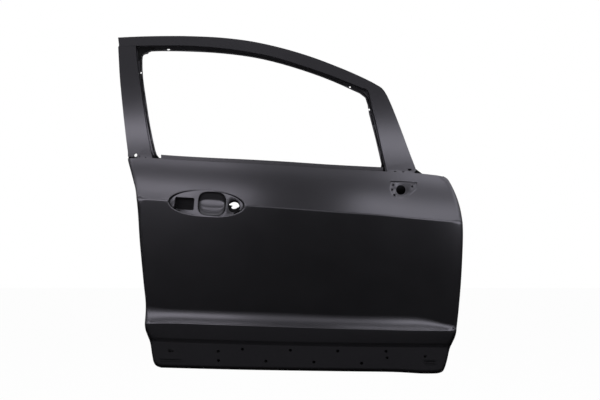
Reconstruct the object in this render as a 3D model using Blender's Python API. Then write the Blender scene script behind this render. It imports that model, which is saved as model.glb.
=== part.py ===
"""Shell of a right front car door: skin, inner panel with its window frame, and the parts welded inside.

X runs from the rear edge to the front, Z up, and Y from the outer skin towards the cabin.
The origin is the seat of the lower hinge on the front shut face.
"""

import math

import bmesh
import bpy
from mathutils import Matrix, Vector
from mathutils.geometry import delaunay_2d_cdt, intersect_line_line_2d

# Overall size of the door, seen from outside
DOOR_LENGTH = 1.120
DOOR_HEIGHT = 1.096

# Sheet thicknesses, and the gap between sheets that are welded together
SKIN_SHEET = 0.0008
INNER_SHEET = 0.0008
FRAME_SHEET = 0.0010
BRACE_SHEET = 0.0012
HINGE_PLATE_SHEET = 0.0020
SEAM_GAP = 0.0003
HEM_SEAM_GAP = 0.0006
BRACKET_GAP = 0.0009

# Section of the skin, inboard of the character line
SHOULDER_DEPTH = 0.042
BODY_TUCK = 0.020
FLARE_STAND = 0.002
FLARE_HEIGHT = 0.045
ROCKER_TUCK = 0.012
CLADDING_JOGGLE = 0.004
CLADDING_JOGGLE_RUN = 0.003
CLADDING_TUCK = 0.023
REAR_CROWN = 0.012
FRONT_CROWN = 0.022
CROWN_PEAK_SHARE = 0.45
SHOULDER_SLOPE_SHARE = 0.25

# Hem that folds the skin round the inner panel
HEM_WIDTH = 0.010
FLANGE_WIDTH = 0.012
HEM_CLEARANCE = 0.0005

# Shut faces and pan of the inner panel
LAND_DEPTH = 0.076
PAN_DEPTH = 0.125
LAND_WIDTH = 0.012
WALL_DRAFT = 0.005
BELT_STEP = 0.010
PAN_TOP_DROP = 0.014
BELT_EDGE_RISE = 0.003

# Window frame: lean of the glass, its barrel radius, and the box section
SASH_LEAN_SHARE = 0.19
GLASS_RADIUS = 1.67
SASH_CLEARANCE = 0.0006
FRAME_DEPTH = 0.028
CHANNEL_DEPTH = 0.016
CHANNEL_WIDTH = 0.0045
CHANNEL_DRAFT = 0.0007
LIP_DEPTH = 0.010
LIP_WIDTH = 0.006
FRAME_RETURN = 0.016
FRAME_RETURN_DRAFT = 0.0005
FRAME_INNER_START = 0.006
FRAME_INNER_DRAFT = 0.003
FRAME_SIDE_CLEARANCE = 0.0030
LEG_DROP = 0.014
LEG_SHOULDER = 0.0055
FRAME_JOINT_GAP = 0.0010

# Handle recess: an ellipse with two pads and a finger cup
HANDLE_CENTRE_SHARES = (0.2722, 0.4953)
HANDLE_HALF_LENGTH = 0.1225
HANDLE_HALF_HEIGHT = 0.0445
HANDLE_TILT = math.radians(-3.6)
HANDLE_RIM_WIDTH = 0.005
HANDLE_PAD_DEPTH = 0.0125
HANDLE_PAD_SLOPE_SHARE = 0.18
CUP_CENTRE = 0.017
CUP_HALF_LENGTH = 0.045
CUP_HALF_HEIGHT = 0.0385
CUP_DEPTH = 0.026
HANDLE_SLOT_CENTRE = -0.070
HANDLE_SLOT_LENGTH = 0.061
HANDLE_SLOT_HEIGHT = 0.030
HANDLE_SLOT_CORNER = 0.004
HANDLE_BORE_CENTRE = 0.0887
HANDLE_BORE_RADIUS = 0.0195
HANDLE_BRACE_MARGIN = 0.009
HANDLE_BRACE_WINDOW_MARGIN = 0.002

# Mirror seat
MIRROR_RECESS = 0.005
MIRROR_RIM_WIDTH = 0.0025
MIRROR_BORE_SHARES = (0.8247, 0.5346)
MIRROR_BORE_RADIUS = 0.0155
MIRROR_SCREW_RADIUS = 0.0035
MIRROR_BRACE_MARGIN = 0.010
MIRROR_BRACE_FOLD_SHIFT = 0.0010
MIRROR_NUT_COUNT = 3

# Holes for the cladding clips
CLIP_HOLE_RADIUS = 0.0040
CLIP_SLOT_LENGTH = 0.018
CLIP_SLOT_HEIGHT = 0.009

# Openings of the inner panel
SPEAKER_CENTRE_SHARES = (0.815, 0.215)
SPEAKER_RADIUS = 0.082
TRIM_HOLE_RADIUS = 0.0045

# Hinges, check arm, latch and harness on the shut faces
HINGE_HEIGHT_SHARES = (0.200, 0.455)
HINGE_BOLT_PITCH = 0.044
HINGE_BOLT_RADIUS = 0.0045
HINGE_PLATE_HEIGHT = 0.096
HINGE_PLATE_WIDTH = 0.040
PLATE_CORNER = 0.006
CHECK_HEIGHT_SHARE = 0.330
CHECK_PLATE_HEIGHT = 0.070
CHECK_PLATE_WIDTH = 0.034
CHECK_SLOT_HEIGHT = 0.022
CHECK_SLOT_WIDTH = 0.012
CHECK_BOLT_PITCH = 0.048
CHECK_BOLT_RADIUS = 0.0033
HARNESS_HEIGHT_SHARE = 0.393
HARNESS_RADIUS = 0.014
LATCH_HEIGHT_SHARE = 0.465
LATCH_PLATE_HEIGHT = 0.104
LATCH_PLATE_WIDTH = 0.042
LATCH_SLOT_HEIGHT = 0.044
LATCH_SLOT_WIDTH = 0.020
LATCH_SCREW_RADIUS = 0.0033
LATCH_SCREW_PITCH = 0.072
LATCH_SCREW_SHARES = ((0.0, 0.5), (-0.17, -0.5), (0.17, -0.5))
NUT_WIDTH = 0.0150
NUT_HEIGHT = 0.0080
SMALL_NUT_WIDTH = 0.0110
SMALL_NUT_HEIGHT = 0.0060

# Side impact beam and its two cradles
BEAM_RADIUS = 0.0150
BEAM_WALL = 0.0022
BEAM_REAR_SHARES = (0.150, 0.2700)
BEAM_FRONT_SHARES = (0.927, 0.3950)
BEAM_SUNK_SHARE = 0.5
CRADLE_LENGTH = 0.110
CRADLE_HALF_WIDTH = 0.030
CRADLE_TAB = 0.016
CRADLE_RUN = 0.010
LAND_OVERLAP = 0.0065

# Belt reinforcements
BELT_STRIP_RISE = 0.013
BELT_STRIP_DROP = 0.010
BELT_HAT_DROP = 0.024
BELT_HAT_FOOT_DROP = 0.056
BELT_FOOT_DROP = 0.068
BELT_END_DROP = 0.076
BELT_HAT_DEPTH = 0.012
BELT_STRIP_START_SHARE = 0.140
BELT_STRIP_END_SHARE = 0.774
BELT_TAB_RUN = 0.007
BELT_TAB_LENGTH = 0.011
BELT_REAR_TAB_DROP = 0.026
BELT_COLUMNS = 12
INNER_BELT_START_SHARE = 0.180
INNER_BELT_END_SHARE = 0.848
INNER_BELT_TOP_DROP = 0.018
INNER_BELT_HEIGHT = 0.062
INNER_BELT_FLANGE = 0.012
INNER_BELT_HAT_DEPTH = 0.016
INNER_BELT_HAT_RUN = 0.006

# Guides of the window glass
GUIDE_WIDTH = 0.016
GUIDE_DEPTH = 0.013
GUIDE_SHEET = 0.0010
GUIDE_TOP_DEPTH = 0.082
GUIDE_LOW_DEPTH = 0.095
GUIDE_LEAN = 0.22
GUIDE_TOP_DROP = 0.030
GUIDE_BEND_SHARE = 0.55
GUIDE_REAR_SHARES = (0.1300, 0.330)
GUIDE_FRONT_SHARES = (0.7830, 0.355)
GUIDE_FOOT_RUN = 0.015
GUIDE_FOOT_LENGTH = 0.030

# Skin brace and the mastic pads between it and the skin
SKIN_BRACE_REAR_SHARES = (0.1110, 0.3740)
SKIN_BRACE_FRONT_SHARES = (0.9490, 0.4560)
SKIN_BRACE_ACROSS = (0.013, 0.016, 0.024)
SKIN_BRACE_DEPTH = 0.010
SKIN_BRACE_TAB = 0.014
SKIN_BRACE_RAMP = 0.065
SKIN_BRACE_PARTS = 7
MASTIC_THICKNESS = 0.0030
MASTIC_RADIUS = 0.011
MASTIC_PLACE_SHARES = (0.22, 0.40, 0.58, 0.76)
CUT_DEPTH = 0.008

# Edges of the skin as shares of the door's length and height, anticlockwise from the rear end of the belt
REAR_EDGE_SHARES = (
    (0.0450, 0.6270), (0.0470, 0.6140), (0.0616, 0.5636), (0.0710, 0.5286), (0.0770, 0.4760),
    (0.0820, 0.3830), (0.0920, 0.2670), (0.0980, 0.2060), (0.0971, 0.1475),
)
REAR_FOOT_SHARES = (
    (0.0971, 0.1475), (0.0995, 0.1270), (0.1110, 0.0930), (0.1165, 0.0560), (0.1210, 0.0340),
    (0.1290, 0.0230), (0.1420, 0.0180),
)
SILL_SHARES = (
    (0.1420, 0.0180), (0.3720, 0.0125), (0.6560, 0.0076), (0.8000, 0.0050), (0.8840, 0.0), (0.9280, 0.0),
)
FRONT_FOOT_SHARES = (
    (0.9280, 0.0), (0.9417, 0.0044), (0.9490, 0.0150), (0.9562, 0.0394), (0.9640, 0.0748),
    (0.9770, 0.1050), (0.9815, 0.1255),
)
FRONT_EDGE_SHARES = (
    (0.9815, 0.1255), (0.9876, 0.1795), (0.9948, 0.2669), (0.9990, 0.3543), (1.0000, 0.4150),
    (0.9971, 0.4589), (0.9910, 0.4937), (0.9795, 0.5287), (0.9619, 0.5638), (0.9463, 0.5756),
)
BELT_SHARES = (
    (0.0450, 0.6270), (0.1080, 0.6280), (0.1650, 0.6237), (0.2800, 0.6170), (0.3940, 0.6116),
    (0.5080, 0.6050), (0.6230, 0.5970), (0.7660, 0.5895), (0.8690, 0.5840), (0.9463, 0.5756),
)

# Lines across the skin
CHARACTER_SHARES = (
    (0.0500, 0.5110), (0.1400, 0.5060), (0.2680, 0.4984), (0.3960, 0.4895), (0.5370, 0.4794),
    (0.6500, 0.4707), (0.7630, 0.4626), (0.8770, 0.4515), (0.9940, 0.4416),
)
FLARE_TOP_SHARES = (
    (0.0960, 0.2000), (0.1700, 0.1920), (0.3400, 0.1860), (0.5100, 0.1806), (0.6800, 0.1732),
    (0.8500, 0.1700), (0.9070, 0.1620), (0.9800, 0.1400),
)
FLARE_CREASE_SHARES = (
    (0.0971, 0.1475), (0.1700, 0.1489), (0.3400, 0.1436), (0.5100, 0.1377), (0.6800, 0.1320),
    (0.8500, 0.1276), (0.9815, 0.1255),
)
STEP_SHARES = (
    (0.1060, 0.1065), (0.2530, 0.1011), (0.5090, 0.0940), (0.7640, 0.0893), (0.9780, 0.0869),
)

# Window frame: outer edge of the header and front pillar, and the inner edge of its face, station by station
HEADER_EDGE_SHARES = (
    (0.0023, 0.9938), (0.0640, 0.9965), (0.1480, 0.9980), (0.2200, 0.9973), (0.3080, 0.9926),
    (0.3960, 0.9810), (0.4840, 0.9605), (0.5720, 0.9327), (0.6590, 0.8978), (0.7170, 0.8712),
    (0.7600, 0.8480), (0.7800, 0.8318), (0.7982, 0.7954), (0.8246, 0.7233), (0.8490, 0.6521),
    (0.8680, 0.5990),
)
HEADER_FACE_SHARES = (
    (0.0070, 0.9655), (0.0660, 0.9672), (0.1440, 0.9680), (0.2160, 0.9672), (0.2960, 0.9610),
    (0.3780, 0.9500), (0.4600, 0.9325), (0.5400, 0.9070), (0.6200, 0.8785), (0.6750, 0.8560),
    (0.7140, 0.8395), (0.7345, 0.8290), (0.7450, 0.7810), (0.7590, 0.7200), (0.7720, 0.6540),
    (0.7850, 0.5960),
)
HEADER_CHANNEL_START = 1
PILLAR_EDGE_SHARES = (
    (0.0036, 0.9640), (0.0077, 0.9228), (0.0130, 0.8700), (0.0203, 0.8127), (0.0351, 0.7049),
    (0.0440, 0.6450),
)
PILLAR_FACE_SHARES = (
    (0.0560, 0.9640), (0.0610, 0.9228), (0.0690, 0.8750), (0.0800, 0.8127), (0.0982, 0.7049),
    (0.1110, 0.6450),
)

# Edge of the window opening from its rear foot up, along the header and down to its front foot
WINDOW_SHARES = (
    (0.1293, 0.6339), (0.1224, 0.6516), (0.1061, 0.7226), (0.0933, 0.7944), (0.0810, 0.8673),
    (0.0767, 0.9227), (0.0800, 0.9390), (0.0920, 0.9425), (0.1020, 0.9500), (0.1630, 0.9508),
    (0.2210, 0.9492), (0.2800, 0.9461), (0.3380, 0.9405), (0.3970, 0.9319), (0.4550, 0.9190),
    (0.5140, 0.9018), (0.5720, 0.8820), (0.6300, 0.8592), (0.6880, 0.8319), (0.7261, 0.8084),
    (0.7364, 0.7590), (0.7536, 0.6874), (0.7700, 0.6100),
)

# Stations of the window edge between which the channel of the rear pillar ends and that of the header starts
PILLAR_CHANNEL_END = 5
HEADER_CHANNEL_FIRST = 8
GUSSET_OUTER_SHARES = ((0.1100, 0.9590), (0.1100, 0.9650), (0.0665, 0.9640), (0.0605, 0.9590), (0.0635, 0.9228))

# Foot of the deep shut face, from the rear end of the belt down, forward and up
SHUT_FACE_SHARES = (
    (0.1060, 0.5900), (0.1090, 0.5400), (0.1090, 0.3900), (0.1250, 0.2120), (0.1310, 0.1240),
    (0.1430, 0.0860), (0.1620, 0.0540), (0.2500, 0.0445), (0.5370, 0.0390), (0.8240, 0.0335),
    (0.9000, 0.0330), (0.9260, 0.0480), (0.9420, 0.0920), (0.9490, 0.1400), (0.9490, 0.5060),
    (0.9400, 0.5350), (0.9200, 0.5450),
)

# Stations at which the straight parts of the shut face start
SHUT_FACE_REAR = 1
SHUT_FACE_FRONT = 13

MIRROR_SEAT_SHARES = (
    (0.7960, 0.5620), (0.8640, 0.5590), (0.8715, 0.5540), (0.8720, 0.5400), (0.8560, 0.5230),
    (0.8320, 0.5110), (0.8080, 0.5130), (0.7940, 0.5300), (0.7920, 0.5560),
)
MIRROR_SCREW_SHARES = ((0.8029, 0.5493), (0.7995, 0.5358), (0.8060, 0.5200), (0.8573, 0.5449))

CLIP_HOLE_SHARES = (
    (0.3049, 0.0666), (0.3055, 0.0398), (0.3737, 0.0730), (0.4403, 0.0378), (0.5094, 0.0698),
    (0.5765, 0.0352), (0.6442, 0.0674), (0.7121, 0.0314), (0.7815, 0.0660), (0.7841, 0.0470),
    (0.8936, 0.0509),
)
CLIP_SLOT_SHARES = (0.1704, 0.0680)

SERVICE_OPENING_SHARES = (
    (0.3150, 0.5300), (0.3000, 0.5150), (0.2980, 0.3300), (0.3150, 0.2700), (0.3700, 0.2150),
    (0.4300, 0.1950), (0.6100, 0.1900), (0.6600, 0.2050), (0.6850, 0.2500), (0.6950, 0.3300),
    (0.7350, 0.3900), (0.7450, 0.4500), (0.7350, 0.4950), (0.7050, 0.5150),
)
LATCH_OPENING_SHARES = (
    (0.1700, 0.5150), (0.1600, 0.5050), (0.1600, 0.3450), (0.1700, 0.3320), (0.2350, 0.3320),
    (0.2450, 0.3450), (0.2450, 0.5050), (0.2350, 0.5150),
)
TRIM_HOLE_SHARES = (
    (0.1500, 0.2500), (0.1650, 0.1100), (0.3000, 0.0900), (0.4800, 0.0850), (0.6600, 0.0850),
    (0.8900, 0.0850), (0.9200, 0.2600), (0.9200, 0.4200), (0.8500, 0.5100), (0.2700, 0.5600),
    (0.5000, 0.1500), (0.2500, 0.2700), (0.8300, 0.3900),
)

SKIN_COLUMNS = 17
SHOULDER_ROW_SHARES = (0.18, 0.42, 0.72)
BODY_ROW_SHARES = (0.12, 0.30, 0.50, 0.75)
FLARE_ROW_SHARES = (0.50,)
CLADDING_ROW_SHARES = (0.50,)


def clear_scene():
    for item in list(bpy.data.objects):
        bpy.data.objects.remove(item, do_unlink=True)


def painted(name, colour, roughness=0.38, metallic=0.0):
    material = bpy.data.materials.new(name)
    material.use_nodes = True
    shader = material.node_tree.nodes["Principled BSDF"]
    shader.inputs["Base Color"].default_value = (*colour, 1)
    shader.inputs["Roughness"].default_value = roughness
    shader.inputs["Metallic"].default_value = metallic
    return material


PRIMER_BLACK = (0.012, 0.012, 0.014)
BARE_PRIMER = (0.020, 0.020, 0.022)
MASTIC_BLACK = (0.030, 0.030, 0.030)


def placed(shares):
    """Points on the door's side view, as (x, z), from shares of its length and height."""
    return [(x * DOOR_LENGTH, z * DOOR_HEIGHT) for x, z in shares]


def smooth(points, parts):
    """A smooth curve through the points, each span cut into equal parts."""
    found = []
    last = len(points) - 1
    for i in range(last):
        before, start, end, after = (Vector(points[min(max(k, 0), last)]) for k in (i - 1, i, i + 1, i + 2))
        for part in range(parts):
            t = part / parts
            found.append(tuple(
                0.5 * (2 * start + (end - before) * t
                       + (2 * before - 5 * start + 4 * end - after) * t ** 2
                       + (3 * start - before - 3 * end + after) * t ** 3)
            ))
    return found + [tuple(points[-1])]


def line_through(shares):
    """Height as a smooth function of x, through points in order of x, straight beyond its ends."""
    points = placed(shares)
    last = len(points) - 1

    def slope(k):
        (x0, z0), (x1, z1) = points[max(k - 1, 0)], points[min(k + 1, last)]
        return (z1 - z0) / (x1 - x0)

    def height(x):
        if x <= points[0][0]:
            return points[0][1] + slope(0) * (x - points[0][0])
        if x >= points[last][0]:
            return points[last][1] + slope(last) * (x - points[last][0])
        k = max(i for i in range(last) if points[i][0] <= x)
        (x0, z0), (x1, z1) = points[k], points[k + 1]
        span = x1 - x0
        t = (x - x0) / span
        return ((2 * t ** 3 - 3 * t ** 2 + 1) * z0 + (t ** 3 - 2 * t ** 2 + t) * span * slope(k)
                + (3 * t ** 2 - 2 * t ** 3) * z1 + (t ** 3 - t ** 2) * span * slope(k + 1))

    return height


belt = line_through(BELT_SHARES)
character = line_through(CHARACTER_SHARES)
flare_top = line_through(FLARE_TOP_SHARES)
flare_crease = line_through(FLARE_CREASE_SHARES)
step_top = line_through(STEP_SHARES)
sill = line_through(SILL_SHARES)


def step_foot(x):
    return step_top(x) - CLADDING_JOGGLE_RUN


CREASES = (character, flare_top, flare_crease, step_top, step_foot)


def crown(x):
    """How far the skin curves inboard towards both ends of the door, seen from above."""
    peak = CROWN_PEAK_SHARE * DOOR_LENGTH
    if x < peak:
        return REAR_CROWN * ((peak - x) / peak) ** 2
    return FRONT_CROWN * ((x - peak) / (DOOR_LENGTH - peak)) ** 2


def section(x, z):
    """Depth of the skin's section inboard of the character line, without the crown."""
    if z >= character(x):
        s = (z - character(x)) / (belt(x) - character(x))
        return SHOULDER_DEPTH * (SHOULDER_SLOPE_SHARE * s + (1 - SHOULDER_SLOPE_SHARE) * (1 - (1 - min(s, 1)) ** 2))
    band = flare_top(x) - flare_crease(x)
    tuck = FLARE_STAND + (BODY_TUCK - FLARE_STAND) * min(band / FLARE_HEIGHT, 1)
    if z >= flare_top(x):
        t = (character(x) - z) / (character(x) - flare_top(x))
        return tuck * (1 - (1 - t) ** 2)
    if z >= flare_crease(x):
        return tuck + (FLARE_STAND - tuck) * ((flare_top(x) - z) / band) ** 2
    if z >= step_top(x):
        t = (flare_crease(x) - z) / (flare_crease(x) - step_top(x))
        return FLARE_STAND + (ROCKER_TUCK - FLARE_STAND) * t
    if z >= step_foot(x):
        return ROCKER_TUCK + CLADDING_JOGGLE * (step_top(x) - z) / CLADDING_JOGGLE_RUN
    t = (step_foot(x) - z) / (step_foot(x) - sill(x))
    return ROCKER_TUCK + CLADDING_JOGGLE + (CLADDING_TUCK - ROCKER_TUCK - CLADDING_JOGGLE) * t


def skin_depth(x, z):
    return section(x, z) + crown(x)


def behind_skin(x, z, distance):
    """Depth of a surface that lies this far behind the skin's outer face, square to it."""
    reach = LIP_WIDTH / 4
    rise = (skin_depth(x, z + reach) - skin_depth(x, z - reach)) / (2 * reach)
    run = (skin_depth(x + reach, z) - skin_depth(x - reach, z)) / (2 * reach)
    return skin_depth(x, z) + distance * math.sqrt(1 + rise ** 2 + run ** 2)


def sash_depth(x, z):
    """Depth of the outer face of the window frame, which leans inboard like the glass."""
    rise = max(z - belt(x), 0)
    foot = SHOULDER_DEPTH + crown(x) + SKIN_SHEET + SASH_CLEARANCE
    return foot + SASH_LEAN_SHARE * rise + rise ** 2 / (2 * GLASS_RADIUS)


def shifted(points, distance, closed):
    """The line moved to its left, which is inwards on a loop that runs anticlockwise, with mitred corners."""
    flat = [Vector(p[:2]) for p in points]
    count = len(flat)
    found = []
    for i in range(count):
        before = flat[i - 1] if closed or i else flat[i]
        after = flat[(i + 1) % count] if closed or i < count - 1 else flat[i]
        sides = [v.normalized() for v in (flat[i] - before, after - flat[i]) if v.length > 0]
        normals = [Vector((-v.y, v.x)) for v in sides]
        total = sum(normals, Vector((0, 0)))
        found.append(tuple(flat[i] + total * (distance * len(normals) / total.length_squared)))
    return found


def skin_edge(parts):
    """The free edge of the skin from the rear end of the belt round to its front end, as (x, z, crease or None)."""
    runs = [placed(s) for s in (REAR_EDGE_SHARES, REAR_FOOT_SHARES, SILL_SHARES, FRONT_FOOT_SHARES, FRONT_EDGE_SHARES)]
    points = []
    for run in runs:
        points += smooth(run, parts)[:-1]
    points.append(runs[-1][-1])
    found = []
    for start, end in zip(points, points[1:]):
        found.append((*start, None))
        crossings = []
        for crease in CREASES:
            low, high = start[1] - crease(start[0]), end[1] - crease(end[0])
            if low * high < 0 or low == 0:
                crossings.append((low / (low - high), crease))
        for t, crease in sorted(crossings, key=lambda c: c[0]):
            found.append((start[0] + t * (end[0] - start[0]), start[1] + t * (end[1] - start[1]), crease))
    found.append((*points[-1], None))
    return without_crowding(found, HEM_WIDTH / 2)


def without_crowding(points, spacing):
    """Drops plain points that lie too near a crease point."""
    marked = [Vector(p[:2]) for p in points if p[2]]
    ends = (points[0], points[-1])
    return [p for p in points
            if p[2] or p in ends or all((Vector(p[:2]) - m).length > spacing for m in marked)]


def along_edge(edge, distance):
    """The skin's free edge moved inwards, with its crease points kept on their creases."""
    moved = shifted(edge, distance, closed=False)
    return [(x, crease(x) if crease else z, crease) for (x, z), (_, _, crease) in zip(moved, edge)]


def rungs(edge, flange):
    """Lines that tie two rows of points together, so that two sheets on them fold alike."""
    lines = [([a, b], False) for a, b in zip(edge, flange)]
    return lines + [([a, b], False) for a, b in zip(edge, flange[1:])]


def ring_points(centre, half_length, half_height, count, tilt=0.0, power=1.0):
    """Points of an ellipse, or with a power under 1 of a squarer loop, anticlockwise."""
    found = []
    for i in range(count):
        a = math.tau * i / count
        u = half_length * math.copysign(abs(math.cos(a)) ** power, math.cos(a))
        v = half_height * math.copysign(abs(math.sin(a)) ** power, math.sin(a))
        found.append((centre[0] + u * math.cos(tilt) - v * math.sin(tilt),
                      centre[1] + u * math.sin(tilt) + v * math.cos(tilt)))
    return found


def rounded_slot(centre, length, height, corner, tilt=0.0, arc=3):
    """A rectangle with round corners, anticlockwise."""
    found = []
    for quarter, (sx, sz) in enumerate(((1, 1), (-1, 1), (-1, -1), (1, -1))):
        for k in range(arc + 1):
            a = math.pi / 2 * (quarter + k / arc)
            u = sx * (length / 2 - corner) + corner * math.cos(a)
            v = sz * (height / 2 - corner) + corner * math.sin(a)
            found.append((centre[0] + u * math.cos(tilt) - v * math.sin(tilt),
                          centre[1] + u * math.sin(tilt) + v * math.cos(tilt)))
    return found


def inside(point, loop):
    """Whether the point lies inside the loop."""
    x, z = point[:2]
    found = False
    for i in range(len(loop)):
        (x0, z0), (x1, z1) = loop[i - 1][:2], loop[i][:2]
        if (z0 > z) != (z1 > z) and x < x0 + (z - z0) / (z1 - z0) * (x1 - x0):
            found = not found
    return found


def sheet_mesh(outline, holes, lines, points, depth):
    """A sheet spread over the side view: every loop, line and point becomes part of its mesh."""
    flat, edges, depths = [], [], []

    def add(run, closed):
        start = len(flat)
        for p in run:
            flat.append(Vector(p[:2]))
            depths.append(p[2] if len(p) > 2 and p[2] is not None and not callable(p[2]) else depth(*p[:2]))
        edges.extend((start + i, start + i + 1) for i in range(len(run) - 1))
        if closed:
            edges.append((len(flat) - 1, start))

    add(outline, True)
    for loop in holes:
        add(loop, True)
    for line, closed in lines:
        add(line, closed)
    for point in points:
        add([point], False)
    verts, _, faces, sources, _, _ = delaunay_2d_cdt(flat, edges, [], 0, SEAM_GAP / 10, True)
    mesh = bmesh.new()
    made = [mesh.verts.new((v.x, depths[s[0]] if s else depth(v.x, v.y), v.y)) for v, s in zip(verts, sources)]
    for face in faces:
        middle = sum((verts[i] for i in face), Vector((0, 0))) / len(face)
        if inside(middle, outline) and not any(inside(middle, loop) for loop in holes):
            corners = [made[i] for i in face]
            flat_corners = [verts[i] for i in face]
            turn = (flat_corners[1] - flat_corners[0]).cross(flat_corners[2] - flat_corners[0])
            mesh.faces.new(corners if turn > 0 else corners[::-1])
    bmesh.ops.delete(mesh, geom=[v for v in made if not v.link_faces], context="VERTS")
    return mesh


def loft(mesh, rows, closed=False):
    """Adds quads between rows of points, which may be vertices of the mesh already."""
    made = [[p if isinstance(p, bmesh.types.BMVert) else mesh.verts.new(p) for p in row] for row in rows]
    for low, high in zip(made, made[1:]):
        count = len(low)
        for i in range(count if closed else count - 1):
            k = (i + 1) % count
            mesh.faces.new((low[i], low[k], high[k], high[i]))
    return made


def new_object(name, mesh, material, parent=None, smooth_angle=35):
    data = bpy.data.meshes.new(name)
    mesh.to_mesh(data)
    mesh.free()
    data.materials.append(material)
    data.shade_smooth()
    data.set_sharp_from_angle(angle=math.radians(smooth_angle))
    item = bpy.data.objects.new(name, data)
    bpy.context.scene.collection.objects.link(item)
    item.parent = parent
    return item


def thicken(item, sheet, inwards=True):
    """Gives a sheet its thickness, on the side away from its face normals."""
    solid = item.modifiers.new("sheet", "SOLIDIFY")
    solid.thickness = sheet
    solid.offset = -1 if inwards else 1
    solid.use_even_offset = True
    solid.use_quality_normals = True
    return item


def cut(item, cutter):
    """Cuts one object from another and hides the cutter."""
    cutter.hide_render = True
    cutter.display_type = "WIRE"
    hole = item.modifiers.new(cutter.name, "BOOLEAN")
    hole.operation = "DIFFERENCE"
    hole.solver = "EXACT"
    hole.object = cutter


def prism(mesh, loop, matrix, depth):
    """A closed prism: the loop lies in the matrix's first two axes and is drawn along the third, both ways."""
    low = [mesh.verts.new(matrix @ Vector((u, v, -depth / 2))) for u, v in loop]
    high = [mesh.verts.new(matrix @ Vector((u, v, depth / 2))) for u, v in loop]
    mesh.faces.new(low[::-1])
    mesh.faces.new(high)
    for i in range(len(loop)):
        k = (i + 1) % len(loop)
        mesh.faces.new((low[i], low[k], high[k], high[i]))


def pierced_plate(mesh, outline, bore, matrix, thickness):
    """A plate between an outline and one bore with as many points, drawn along the matrix's third axis."""
    rows = []
    for loop, level in ((outline, -thickness / 2), (outline, thickness / 2), (bore, thickness / 2), (bore, -thickness / 2)):
        rows.append([matrix @ Vector((u, v, level)) for u, v in loop])
    made = loft(mesh, rows, closed=True)
    for i in range(len(outline)):
        k = (i + 1) % len(outline)
        mesh.faces.new((made[3][i], made[3][k], made[0][k], made[0][i]))


def handle_point(u, v):
    """A point of the handle recess on the side view, from its own length and height axes."""
    x0, z0 = placed((HANDLE_CENTRE_SHARES,))[0]
    return (x0 + u * math.cos(HANDLE_TILT) - v * math.sin(HANDLE_TILT),
            z0 + u * math.sin(HANDLE_TILT) + v * math.cos(HANDLE_TILT))


def handle_pad_depth(x, z):
    """Depth of the sloping floor on which the handle's two ends sit."""
    x0, z0 = placed((HANDLE_CENTRE_SHARES,))[0]
    v = (z - z0) * math.cos(HANDLE_TILT) - (x - x0) * math.sin(HANDLE_TILT)
    return crown(x) + HANDLE_PAD_DEPTH + HANDLE_PAD_SLOPE_SHARE * v


def handle_loops(rim_count, cup_count):
    """Loops of the handle recess, from the rim to the bottom of the cup, and its two holes."""
    centre = placed((HANDLE_CENTRE_SHARES,))[0]
    rim = ring_points(centre, HANDLE_HALF_LENGTH, HANDLE_HALF_HEIGHT, rim_count, HANDLE_TILT)
    pad = ring_points(centre, HANDLE_HALF_LENGTH - HANDLE_RIM_WIDTH * 1.6, HANDLE_HALF_HEIGHT - HANDLE_RIM_WIDTH,
                      rim_count, HANDLE_TILT)
    lines = [(rim, True), ([(x, z, handle_pad_depth(x, z)) for x, z in pad], True)]
    middle = handle_point(CUP_CENTRE, 0)
    for width_share, depth_share in ((1.0, 0.0), (0.88, 0.55), (0.66, 0.90), (0.34, 1.0)):
        loop = ring_points(middle, CUP_HALF_LENGTH * width_share, CUP_HALF_HEIGHT * width_share, cup_count,
                           HANDLE_TILT, power=0.8)
        lines.append(([(x, z, handle_pad_depth(x, z) + CUP_DEPTH * depth_share) for x, z in loop], True))
    slot = rounded_slot(handle_point(HANDLE_SLOT_CENTRE, 0), HANDLE_SLOT_LENGTH, HANDLE_SLOT_HEIGHT,
                        HANDLE_SLOT_CORNER, HANDLE_TILT)
    bore = ring_points(handle_point(HANDLE_BORE_CENTRE, 0), HANDLE_BORE_RADIUS, HANDLE_BORE_RADIUS, rim_count // 2)
    holes = [[(x, z, handle_pad_depth(x, z)) for x, z in loop] for loop in (slot, bore)]
    return lines, holes, rim


def mirror_plane():
    """The flat seat of the mirror: its lower edge is flush with the skin and its top is recessed."""
    loop = placed(MIRROR_SEAT_SHARES)
    low = min(loop, key=lambda p: p[1])
    high = max(loop, key=lambda p: p[1])
    rear = min(loop, key=lambda p: p[0])
    foot = behind_skin(*low, SEAM_GAP)
    lean = (behind_skin(*high, MIRROR_RECESS) - foot) / (high[1] - low[1])
    sweep = (crown(high[0]) - crown(rear[0])) / (high[0] - rear[0])

    def depth(x, z):
        return foot + lean * (z - low[1]) + sweep * (x - low[0])

    return depth, Vector((-sweep, 1, -lean)).normalized()


def mirror_loops():
    seat, _ = mirror_plane()
    rim = smooth(placed(MIRROR_SEAT_SHARES + MIRROR_SEAT_SHARES[:1]), 2)[:-1]
    rim = rim if area(rim) > 0 else rim[::-1]
    floor = shifted(rim, MIRROR_RIM_WIDTH, closed=True)
    bore = ring_points(placed((MIRROR_BORE_SHARES,))[0], MIRROR_BORE_RADIUS, MIRROR_BORE_RADIUS, 16)
    screws = [ring_points(p, MIRROR_SCREW_RADIUS, MIRROR_SCREW_RADIUS, 8) for p in placed(MIRROR_SCREW_SHARES)]
    holes = [[(x, z, seat(x, z)) for x, z in loop] for loop in [bore] + screws]
    return [(rim, True), ([(x, z, seat(x, z)) for x, z in floor], True)], holes, rim


def area(loop):
    return sum(a[0] * b[1] - b[0] * a[1] for a, b in zip(loop, loop[1:] + loop[:1])) / 2


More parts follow.
